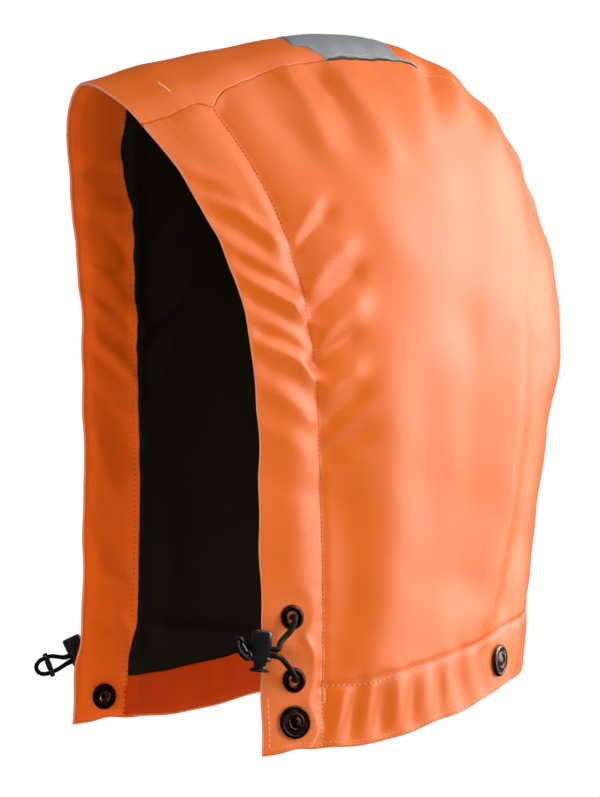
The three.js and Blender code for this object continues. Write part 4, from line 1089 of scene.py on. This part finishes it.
# ---------------------------------------------------------------- stitches
def capsule(segments=6):
    rings = [(-1.0, 0.0), (-0.86, 0.62), (-0.5, 0.95), (0.0, 1.0), (0.5, 0.95), (0.86, 0.62), (1.0, 0.0)]
    verts, faces = [], []
    for x, r in rings[1:-1]:
        for k in range(segments):
            a = 2 * math.pi * k / segments
            verts.append((x, r * math.cos(a), r * math.sin(a)))
    first, last = len(verts), len(verts) + 1
    verts += [(-1, 0, 0), (1, 0, 0)]
    for i in range(len(rings) - 3):
        for k in range(segments):
            a, b = i * segments + k, i * segments + (k + 1) % segments
            faces.append([a, a + segments, b + segments, b])
    for k in range(segments):
        faces.append([first, k, (k + 1) % segments])
        n = (len(rings) - 3) * segments
        faces.append([last, n + (k + 1) % segments, n + k])
    return np.array(verts), faces


CAPSULE = capsule(5)


def scattered(name, centres, t, n, half_length, half_high, half_wide, material, template=CAPSULE, lean=0.0):
    """copies of a small shape at centres, each with its own direction and normal"""
    b = np.cross(n, t)
    b /= np.linalg.norm(b, axis=1, keepdims=True)
    t = np.cross(b, n)
    if lean:
        t, b = t * math.cos(lean) + b * math.sin(lean), b * math.cos(lean) - t * math.sin(lean)
    base, faces = template
    half_length = np.broadcast_to(half_length, (len(centres),))[:, None, None]
    verts = centres[:, None] + base[None, :, 0:1] * half_length * t[:, None] \
        + base[None, :, 1:2] * half_high * n[:, None] + base[None, :, 2:3] * half_wide * b[:, None]
    count = len(base)
    every = []
    for i in range(len(centres)):
        every += [[k + i * count for k in f] for f in faces]
    return give(make_mesh(name, verts.reshape(-1, 3), every), material)


def points_along(p, pitch, start=0.0):
    at = np.concatenate([[0], np.cumsum(np.linalg.norm(np.diff(p, axis=0), axis=1))])
    where = np.arange(start, at[-1], pitch)
    q = np.stack([np.interp(where, at, p[:, k]) for k in range(3)], 1)
    r = np.stack([np.interp(np.minimum(where + 0.3, at[-1]), at, p[:, k]) for k in range(3)], 1)
    l = np.stack([np.interp(np.maximum(where - 0.3, 0), at, p[:, k]) for k in range(3)], 1)
    t = r - l
    return q, t / np.linalg.norm(t, axis=1, keepdims=True)


def sewn(name, p, lift, depth, pitch=2.5, length=1.75, high=0.20, wide=0.22, thread=orange_thread, holes=True,
         inward=False, lean=0.0):
    """a row of stitches along base points p, standing on the cloth's face, with dark marks between them: painted shade
    in the needle holes
    """
    n = normals_at(p)
    face = p + n * (lift(p) - depth)[:, None]
    q, t = points_along(face, pitch, 0.6)
    base, _ = points_along(p, pitch * path_length(p) / path_length(face), 0.6)
    base = base[:len(q)] if len(base) >= len(q) else np.concatenate([base, base[-1:].repeat(len(q) - len(base), 0)])
    nn = normals_at(base) * (-1 if inward else 1)
    made = [scattered(name, q + nn * 0.03, t, nn, length / 2, high, wide, thread, lean=lean)]
    # dark marks of painted shade in the needle holes
    if holes:
        q2, t2 = points_along(face, pitch, 0.6 + pitch / 2)
        nn2 = nn[:len(q2)]
        q2, t2 = q2[:len(nn2)], t2[:len(nn2)]
        made.append(scattered(name + "_hole_shade", q2 + nn2 * 0.02, t2, nn2, 0.38, 0.13, 0.31, hole_shade_mat))
    return made


stitching = []
none = np.zeros(1)
for side, which in ((1, "left"), (-1, "right")):
    # tunnel stitch, from the hem to the seam
    top_z = float(side_grid(side, stitch_at, hem_at, np.array([[0.0]]), np.array([[1.0]]))[0, 0, 2])
    zs = np.linspace(float(hem_at(-55.7)) + 1.2, top_z - 0.6, 700)
    ys = stitch_at(zs)
    line = np.stack([side * surface_x(ys, zs), ys, zs], 1)
    upper, lower = line[zs > -309], line[zs <= -309]
    stitching += sewn(f"stitch_tunnel_{which}", upper, shell_lift, -0.10, 2.2, 1.4, 0.12, 0.16)
    stitching += sewn(f"stitch_tunnel_low_{which}", lower, shell_lift, -0.05, 1.9, 2.0, 0.22, 0.26, pale_thread, lean=0.5)
    # seams over the crown and down the back
    start, end = panel_ends(np.array(1.0), edge_at, hem_at)
    a = np.linspace(float(start), float(end), 900)
    line = on_ray(half_at(a) + 0.25, a)
    line[:, 0] *= side
    stitching += sewn(f"stitch_seam_{which}", line, shell_lift, SEAM_ROUND * 0.58, 2.0, 1.55, 0.20, 0.24, seam_thread, holes=False)
# front edge, hem stitch and hem edge, right round
front_line = arch_curve(lambda z: edge_at(z) + 2.6, lambda y: hem_at(y) + 2.5, 1600)
stitching += sewn("stitch_front_edge", front_line, shell_lift, 0.05, 2.5, 1.5, 0.11, 0.14, holes=False)
low = front_line[front_line[:, 2] < -308]
for side, which in ((1, "left"), (-1, "right")):
    stitching += sewn(f"stitch_front_low_{which}", low[low[:, 0] * side > 0] + np.array([0, 0.5, 0]), shell_lift, -0.02, 2.6, 2.0,
                      0.2, 0.26, pink_thread, holes=False)
stitching += sewn("stitch_hem", neck_curve(lambda y: HEM_BAND, lambda z: stitch_at(z), 1400), shell_lift, -0.04, 2.6, 1.9, 0.22, 0.24,
                  pale_thread)
stitching += sewn("stitch_hem_edge", neck_curve(lambda y: 2.6, lambda z: edge_at(z) + 3, 1400), shell_lift, -0.02, 2.4, 1.6, 0.15, 0.17,
                  pale_thread, holes=False)
# inside: lip of the facing, and the join of facing and hem facing
lip = onto_surface(gathered(arch_curve(lambda z: facing_at(z) - 2.4, lambda y: hem_at(y) + 3, 1400)))
stitching += sewn("stitch_facing_lip", lip, facing_lift, 3.45, 2.6, 1.8, 0.16, 0.18, orange_thread, inward=True)
inner_edge = arch_curve(lambda z: edge_at(z) + 3.6, lambda y: hem_at(y) + 3, 1400)
stitching += sewn("stitch_facing_edge", inner_edge, facing_lift, 2.95, 2.6, 1.7, 0.15, 0.17, orange_thread, holes=False, inward=True)
for side, which in ((1, "left"), (-1, "right")):
    zs = np.linspace(float(hem_at(-57)) + 2, float(hem_at(-57)) + 24.5, 60)
    ys = facing_low(zs) - 0.9
    join = np.stack([side * surface_x(ys, zs), ys, zs], 1)
    stitching += sewn(f"stitch_join_{which}", join, facing_lift, 3.3, 2.6, 1.2, 0.3, 0.3, dark_thread, holes=False, inward=True)
# tape, along both seams
for sign, which in ((1, "left"), (-1, "right")):
    a = np.linspace(84.0 * RAD, 73.6 * RAD, 260)
    half = half_at(a) - 2.3 - 0.7 * np.sin(a / RAD * 1.5) - 0.35 * np.sin(a / RAD * 3.1 + 1)
    line = on_ray(half, a)
    line[:, 0] *= sign
    stitching += sewn(f"stitch_tape_{which}", line, tape_lift, -0.52, 2.2, 1.9, 0.18, 0.20, cream_thread, holes=False)
grey_thread = thread_material("thread_grey", (0.26, 0.27, 0.28, 1), (0.34, 0.35, 0.36, 1))
for ends, offset, which in ((tape_start, -0.55, "front"), (tape_stop, 0.55, "back")):
    w = np.linspace(-0.56, 0.56, 160) if which == "front" else np.linspace(-0.84, 0.84, 200)
    a = (ends(w) + offset) * RAD
    line = on_ray(np.abs(w) * half_at(a), a)
    line[:, 0] *= np.sign(w)
    stitching += sewn(f"stitch_tape_{which}", line, tape_lift, -0.5, 2.5, 1.8, 0.10, 0.13, grey_thread, holes=False)
tack_thread = thread_material("thread_tack", (0.86, 0.46, 0.20, 1), (0.90, 0.58, 0.30, 1))
# bar tacks: on the top band, and where the tunnel and hem stitches cross
tack = np.linspace(0, 1, 30)[:, None] * (np.array([33.8, -97.8, -32.2]) - (25.8, -100.3, -27.4)) + (25.8, -100.3, -27.4)
for sign, which in ((1, "left"), (-1, "right")):
    line = onto_surface(tack * (sign, 1, 1))
    t = np.gradient(line, axis=0)
    t /= np.linalg.norm(t, axis=1, keepdims=True)
    n = normals_at(line)
    face = line + n * (shell_lift(line) + 0.05)[:, None]
    side_way = np.cross(n, t)
    stitching.append(scattered(f"tack_band_{which}", face, side_way, n, 0.42, 0.22, 0.22, tack_thread, lean=0.35))
    zc = float(hem_smooth(-55.7)) + HEM_BAND
    zs = np.linspace(zc - 7.0, zc + 1.0, 15)
    ys = stitch_at(zs) + 0.9
    line = np.stack([sign * surface_x(ys, zs), ys, zs], 1)
    n = normals_at(line)
    t = np.gradient(line, axis=0)
    t /= np.linalg.norm(t, axis=1, keepdims=True)
    face = line + n * (shell_lift(line) + 0.1)[:, None]
    stitching.append(scattered(f"tack_hem_{which}", face, np.cross(n, t), n, 0.85, 0.24, 0.22, pale_thread, lean=0.3))

# ---------------------------------------------------------------- fittings
def lathe(name, profile, at, segments=72, rounds=2, stretch=None):
    """a turned shape round its own Y axis; the profile's corners are eased"""
    pr = np.array(profile, float)
    for _ in range(rounds):
        q = [pr[0]]
        for a, b in zip(pr[:-1], pr[1:]):
            q += [a + (b - a) * 0.25, a + (b - a) * 0.75]
        q.append(pr[-1])
        pr = np.array(q)
    a = np.linspace(0, 2 * math.pi, segments, endpoint=False)
    closed = np.allclose(pr[0], pr[-1])
    if closed:
        pr = pr[:-1]
    poles = [i for i in (0, len(pr) - 1) if pr[i, 0] < 1e-6] if not closed else []
    verts, start = [], {}
    for i, (r, h) in enumerate(pr):
        start[i] = len(verts)
        if i in poles:
            verts.append((0, h, 0))
        else:
            verts += [(r * math.cos(t), h, r * math.sin(t)) for t in a]
    faces = []
    pairs = list(zip(range(len(pr) - 1), range(1, len(pr)))) + ([(len(pr) - 1, 0)] if closed else [])
    for i, j in pairs:
        for k in range(segments):
            l = (k + 1) % segments
            if i in poles:
                faces.append([start[i], start[j] + k, start[j] + l])
            elif j in poles:
                faces.append([start[i] + k, start[j], start[i] + l])
            else:
                faces.append([start[i] + k, start[j] + k, start[j] + l, start[i] + l])
    verts = np.array(verts, float)
    if stretch is not None:
        verts = verts * np.array(stretch)
    o = make_mesh(name, place(verts, at), faces)
    outward(o)
    return o


def outward(o):
    import bmesh
    bm = bmesh.new()
    bm.from_mesh(o.data)
    bmesh.ops.recalc_face_normals(bm, faces=bm.faces)
    bm.to_mesh(o.data)
    bm.free()
    return o


eyelets, studs = {}, {}
for which, side, y, z in EYELETS:
    at = surface_frame(side, y, z)
    ring = [(2.75, -1.9), (2.75, 0.5), (2.95, 1.25), (3.6, 1.75), (4.4, 1.72), (5.3, 1.15), (5.75, 0.55), (5.7, 0.1),
            (5.3, 0.1), (3.2, 0.3), (3.2, -1.6), (4.9, -1.6), (4.9, -2.1), (3.0, -2.1), (2.75, -1.9)]
    o = give(lathe(f"eyelet_{which}", ring, at), antique_mat)
    inner = [(2.74, -1.75), (2.74, 0.35), (2.70, 0.35), (2.70, -1.75), (2.74, -1.75)]
    glint = give(lathe(f"eyelet_inside_{which}", inner, at, 48, 0), copper_mat)
    eyelets[which] = (o, glint)

for which, side, y, z, under in STUDS:
    at = surface_frame(side, y, z)
    floor = -under - 0.6
    cap = [(0, floor - 1.2), (1.5, floor - 1.2), (1.5, 0.2), (7.0, 0.2), (7.55, 0.45), (7.62, 0.95), (7.45, 1.45),
           (6.9, 1.9), (6.4, 2.0), (6.15, 1.85), (6.0, 1.62), (4.25, 1.62), (4.05, 1.8), (3.8, 2.1), (3.3, 2.15),
           (3.0, 1.9), (2.85, 1.6), (2.2, 1.75), (1.2, 1.95), (0, 2.0)]
    o = give(lathe(f"stud_{which}", cap, at, 96), antique_mat if "front" in which else gun_mat)
    # plain milled ring in the channel of the cap
    a = np.linspace(0, 2 * math.pi, 44, endpoint=False)
    radial = np.stack([np.cos(a), 0 * a, np.sin(a)], 1)
    centres = place(radial * 5.1 + np.array([0, 1.6, 0]), at)
    milled = scattered(f"stud_ring_{which}", centres, radial @ at[1].T, np.repeat(at[1][:, 1][None], 44, 0), 0.82, 0.2, 0.17,
                       gun_mat if "hem" in which else antique_mat)
    socket = [(1.9, floor + 0.1), (6.0, floor + 0.1), (6.4, floor - 0.35), (6.42, floor - 1.0), (6.1, floor - 1.55),
              (5.6, floor - 1.88), (5.0, floor - 1.9), (3.6, floor - 1.9), (3.1, floor - 1.82), (2.75, floor - 1.5),
              (2.5, floor - 1.1), (2.0, floor - 1.0), (1.9, floor - 0.9), (1.9, floor + 0.1)]
    s = give(lathe(f"socket_{which}", socket, at, 96), antique_mat)
    lip_ring = [(2.62, floor - 1.3), (2.95, floor - 1.72), (2.85, floor - 1.8), (2.35, floor - 1.45), (1.95, floor - 1.2),
                (1.95, floor - 1.1), (2.5, floor - 1.15), (2.62, floor - 1.3)]
    g = give(lathe(f"socket_inside_{which}", lip_ring, at, 64, 1), copper_mat)
    studs[which] = (o, milled, s, g)


# ------------------------------------------------- cord locks and cord stops
def smooth_by_angle(o, degrees=38):
    o.data.polygons.foreach_set("use_smooth", np.full(len(o.data.polygons), True))
    o.data.set_sharp_from_angle(angle=degrees * RAD)
    return o


def cut(o, cutters, name):
    """o less the cutters, as one applied mesh"""
    for c in cutters:
        modifier = o.modifiers.new("cut", "BOOLEAN")
        modifier.operation, modifier.solver, modifier.object = "DIFFERENCE", "EXACT", c
    bpy.context.view_layer.update()
    mesh = bpy.data.meshes.new_from_object(o.evaluated_get(bpy.context.evaluated_depsgraph_get()))
    for c in cutters:
        bpy.data.objects.remove(c)
    bpy.data.objects.remove(o)
    made = add_object(name, mesh)
    mesh.name = name
    return smooth_by_angle(made)


def loft(name, sections, at, around=64, power=2.0):
    """rounded sections (height, half length x, half length z) along the Y axis of a frame"""
    a = np.linspace(0, 2 * math.pi, around, endpoint=False)
    ca, sa = np.cos(a), np.sin(a)
    ca, sa = np.sign(ca) * np.abs(ca) ** (2 / power), np.sign(sa) * np.abs(sa) ** (2 / power)
    rings = [np.stack([x * ca, np.full(around, h), z * sa], 1) for h, x, z in sections]
    verts = np.concatenate(rings)
    faces = []
    for i in range(len(sections) - 1):
        for k in range(around):
            l = (k + 1) % around
            faces.append([i * around + k, i * around + l, (i + 1) * around + l, (i + 1) * around + k])
    faces.append(list(range(around))[::-1])
    n = (len(sections) - 1) * around
    faces.append([n + k for k in range(around)])
    return outward(make_mesh(name, place(verts, at), faces))


def rod_at(name, radius, at, centre, way, low, high, around=48):
    """a round rod in a frame, along local axis way"""
    a = np.linspace(0, 2 * math.pi, around, endpoint=False)
    ring = {0: lambda h: np.stack([np.full(around, h), np.cos(a) * radius, np.sin(a) * radius], 1),
            1: lambda h: np.stack([np.cos(a) * radius, np.full(around, h), np.sin(a) * radius], 1),
            2: lambda h: np.stack([np.cos(a) * radius, np.sin(a) * radius, np.full(around, h)], 1)}[way]
    verts = np.concatenate([ring(low), ring(high)]) + np.array(centre, float)
    faces = [[k, (k + 1) % around, around + (k + 1) % around, around + k] for k in range(around)]
    faces += [list(range(around))[::-1], [around + k for k in range(around)]]
    return outward(make_mesh(name, place(verts, at), faces))


def block(name, at, low, high):
    x0, y0, z0 = low
    x1, y1, z1 = high
    v = [(x0, y0, z0), (x1, y0, z0), (x1, y1, z0), (x0, y1, z0), (x0, y0, z1), (x1, y0, z1), (x1, y1, z1), (x0, y1, z1)]
    f = [[0, 3, 2, 1], [4, 5, 6, 7], [0, 1, 5, 4], [1, 2, 6, 5], [2, 3, 7, 6], [3, 0, 4, 7]]
    return outward(make_mesh(name, place(v, at), f))


locks = {}
for which, lock in LOCKS.items():
    at = frame_from(lock["centre"], lock["through"], lock["axis"])
    outer = loft("barrel_outer", [(-7.0, 3.9, 3.05), (-6.9, 4.25, 3.4), (-6.6, 4.55, 3.63), (-6.3, 4.62, 3.70), (-5.2, 4.62, 3.70),
                                  (-4.9, 4.50, 3.58), (-4.6, 4.62, 3.70), (5.9, 4.62, 3.70), (6.4, 4.50, 3.60),
                                  (6.8, 4.2, 3.30), (7.0, 3.75, 2.9)], at, 72, 2.7)
    hollow = loft("barrel_hollow", [(-8.0, 3.65, 2.92), (5.0, 3.65, 2.92)], at, 64, 2.0)
    dish = loft("barrel_dish", [(6.35, 2.6, 1.9), (7.6, 3.3, 2.5)], at, 64, 2.4)
    slots = [block("slot", at, (-9, -4.75, -1.6), (9, -0.25, 1.6)), rod_at("slot_end", 1.6, at, (0, -0.4, 0), 0, -9, 9),
             rod_at("slot_end2", 1.6, at, (0, -4.4, 0), 0, -9, 9)]
    barrel = give(cut(outer, [hollow, dish] + slots, f"lock_barrel_{which}"), plastic_mat)
    core = loft("plunger_core", [(-11.75, 3.4, 2.5), (-11.65, 4.3, 3.3), (-11.3, 4.65, 3.72), (-10.8, 4.65, 3.72), (-10.45, 4.3, 3.4),
                                 (-9.9, 2.9, 2.3), (-9.3, 2.6, 2.1), (-8.4, 2.7, 2.2), (-7.9, 3.18, 2.54), (2.3, 3.18, 2.54),
                                 (2.6, 2.9, 2.3)], at, 64, 2.2)
    plunger = give(cut(core, [block("slot", at, (-9, -7.65, -1.6), (9, 0.45, 1.6))], f"lock_plunger_{which}"), plastic_mat)

    bar_at = frame_from(lock["stop"], lock["loop"], lock["bar"])
    body = loft("stop_body", [(-3.8, 1.15, 1.15), (-2.0, 1.35, 1.35), (0, 1.45, 1.45), (2.0, 1.35, 1.35), (3.8, 1.15, 1.15)],
                bar_at, 40, 3.0)
    rings = []
    for sign in (1, -1):
        ring = [(1.6, -1.1), (1.62, -1.0), (1.62, 1.0), (1.7, 1.12), (2.1, 1.12), (2.28, 0.95), (2.3, 0.0), (2.28, -0.95),
                (2.1, -1.12), (1.7, -1.12), (1.6, -1.1)]
        turned = np.stack([bar_at[1][:, 1], bar_at[1][:, 0], -bar_at[1][:, 2]], 1)
        rings.append(give(lathe(f"stop_ring_{which}_{'a' if sign > 0 else 'b'}", ring,
                                (place((0, sign * 3.8, 0), bar_at), turned), 48, 1), plastic_mat))
    stop = give(cut(body, [rod_at("eye", 1.62, bar_at, (0, 3.8, 0), 0, -4, 4), rod_at("eye2", 1.62, bar_at, (0, -3.8, 0), 0, -4, 4)],
                    f"stop_{which}"), plastic_mat)
    locks[which] = (barrel, plunger, stop, rings)

# ------------------------------------------------ riding, and what replaces what
for which in ("left", "right"):
    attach(panels[which], "hood")
    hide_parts(f"side_panel_{which}")
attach(panels["centre"], "hood")
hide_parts("centre_panel")
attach(facing, "hood")
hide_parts("face_facing")
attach(hem_facing, "hood")
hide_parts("hem_facing")
for o in lining_parts:
    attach(o, "hood")
    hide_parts("lining")
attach(tape, "hood")
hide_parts("reflective_tape")
for o in [tape] + tape_shadow_strips:
    if o is not tape:
        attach(o, "hood")
for o in stitching:
    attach(o, "hood")
for which, (ring, glint) in eyelets.items():
    for o in (ring, glint):
        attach(o, "hood")
    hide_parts(f"eyelet_{which}")
for which, (cap, milled, socket, lip_ring) in studs.items():
    for o in (cap, milled, socket, lip_ring):
        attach(o, "hood")
    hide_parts(f"stud_cap_{which}")
    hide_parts(f"stud_socket_{which}")
for which, (barrel, plunger, stop, rings) in locks.items():
    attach(barrel, "hood")
    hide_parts(f"cord_lock_barrel_{which}")
    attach(plunger, f"plunger_{which}")
    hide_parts(f"cord_lock_plunger_{which}")
    for o in [stop] + rings:
        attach(o, "hood")
    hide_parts(f"cord_stop_{which}")
    c = cords[which]
    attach(c, "hood")
    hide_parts(f"elastic_cord_{which}")
    path = cord_paths[which][::4]
    if not np.allclose(path[-1], cord_paths[which][-1]):
        path = np.concatenate([path, cord_paths[which][-1:]])

# ---------------------------------------------------- floor, lights, world
def floor_disc(radius, z):
    n = 96
    a = np.linspace(0, 2 * math.pi, n, endpoint=False)
    verts = [(radius * 1000 * math.cos(t), radius * 1000 * math.sin(t), z * 1000) for t in a]
    return make_mesh("floor", verts, [list(range(n))], smooth=False)


floor = floor_disc(1.3, -0.62)
m = Nodes("floor_pale")
m.link(m.ramp(m.noise(m.new("ShaderNodeTexCoord").outputs["Object"], 3, 2), [(0, (0.86, 0.86, 0.86, 1)), (1, (0.9, 0.9, 0.9, 1))]),
       m.shader.inputs["Base Color"])
m.set(Roughness=0.9)
give(floor, m.material)
floor.visible_glossy = False  # the photo's cut-out ground isn't mirrored in the cloth


def area_light(name, way, distance, size, power, colour=(1, 1, 1)):
    data = bpy.data.lights.new(name, "AREA")
    data.shape, data.size, data.size_y = "RECTANGLE", size[0], size[1]
    data.energy, data.color = power, colour
    o = bpy.data.objects.new(name, data)
    way = Vector(way).normalized()
    o.location = TARGET + way * distance
    o.rotation_euler = way.to_track_quat("Z", "Y").to_euler()
    bpy.context.scene.collection.objects.link(o)
    return o


UP = Vector((0, 0, 1))
area_light("key", RIGHT * 1.0 + BACK * 0.18 + UP * 0.35, 1.8, (1.2, 1.6), 26)
area_light("rim", RIGHT * 0.90 + BACK * -0.35 + UP * 0.30, 1.8, (1.2, 1.6), 17)
area_light("rim_back", RIGHT * 0.75 + BACK * -0.65 + UP * 0.25, 1.8, (1.0, 1.6), 8)
# the front fill is a matt bounce: only a small part of it is mirrored by the cloth
for light in (area_light("front", RIGHT * -0.45 + BACK * 0.75 + UP * 0.60, 2.0, (1.0, 1.2), 10.5),
              area_light("low_front", RIGHT * -0.45 + BACK * 0.90 + UP * -0.12, 2.0, (1.0, 1.4), 12)):
    light.visible_glossy = False
area_light("front_mirrored", RIGHT * -0.45 + BACK * 0.75 + UP * 0.55, 2.0, (0.45, 0.8), 2.0)
area_light("top", UP * 1.0 + RIGHT * 0.55 + BACK * 0.05, 1.8, (1.6, 1.6), 12)

world = bpy.data.worlds.new("studio")
bpy.context.scene.world = world
world.use_nodes = True
tree = world.node_tree
shade = tree.nodes["Background"]
shade.inputs["Color"].default_value = (1, 1, 1, 1)
shade.inputs["Strength"].default_value = 0.03
white = tree.nodes.new("ShaderNodeBackground")
white.inputs["Color"].default_value = (1, 1, 1, 1)
white.inputs["Strength"].default_value = 1.0
ray = tree.nodes.new("ShaderNodeLightPath")
both = tree.nodes.new("ShaderNodeMixShader")
tree.links.new(ray.outputs["Is Camera Ray"], both.inputs["Fac"])
tree.links.new(shade.outputs[0], both.inputs[1])
tree.links.new(white.outputs[0], both.inputs[2])
tree.links.new(both.outputs[0], tree.nodes["World Output"].inputs["Surface"])
bpy.context.scene.view_settings.view_transform = "Standard"
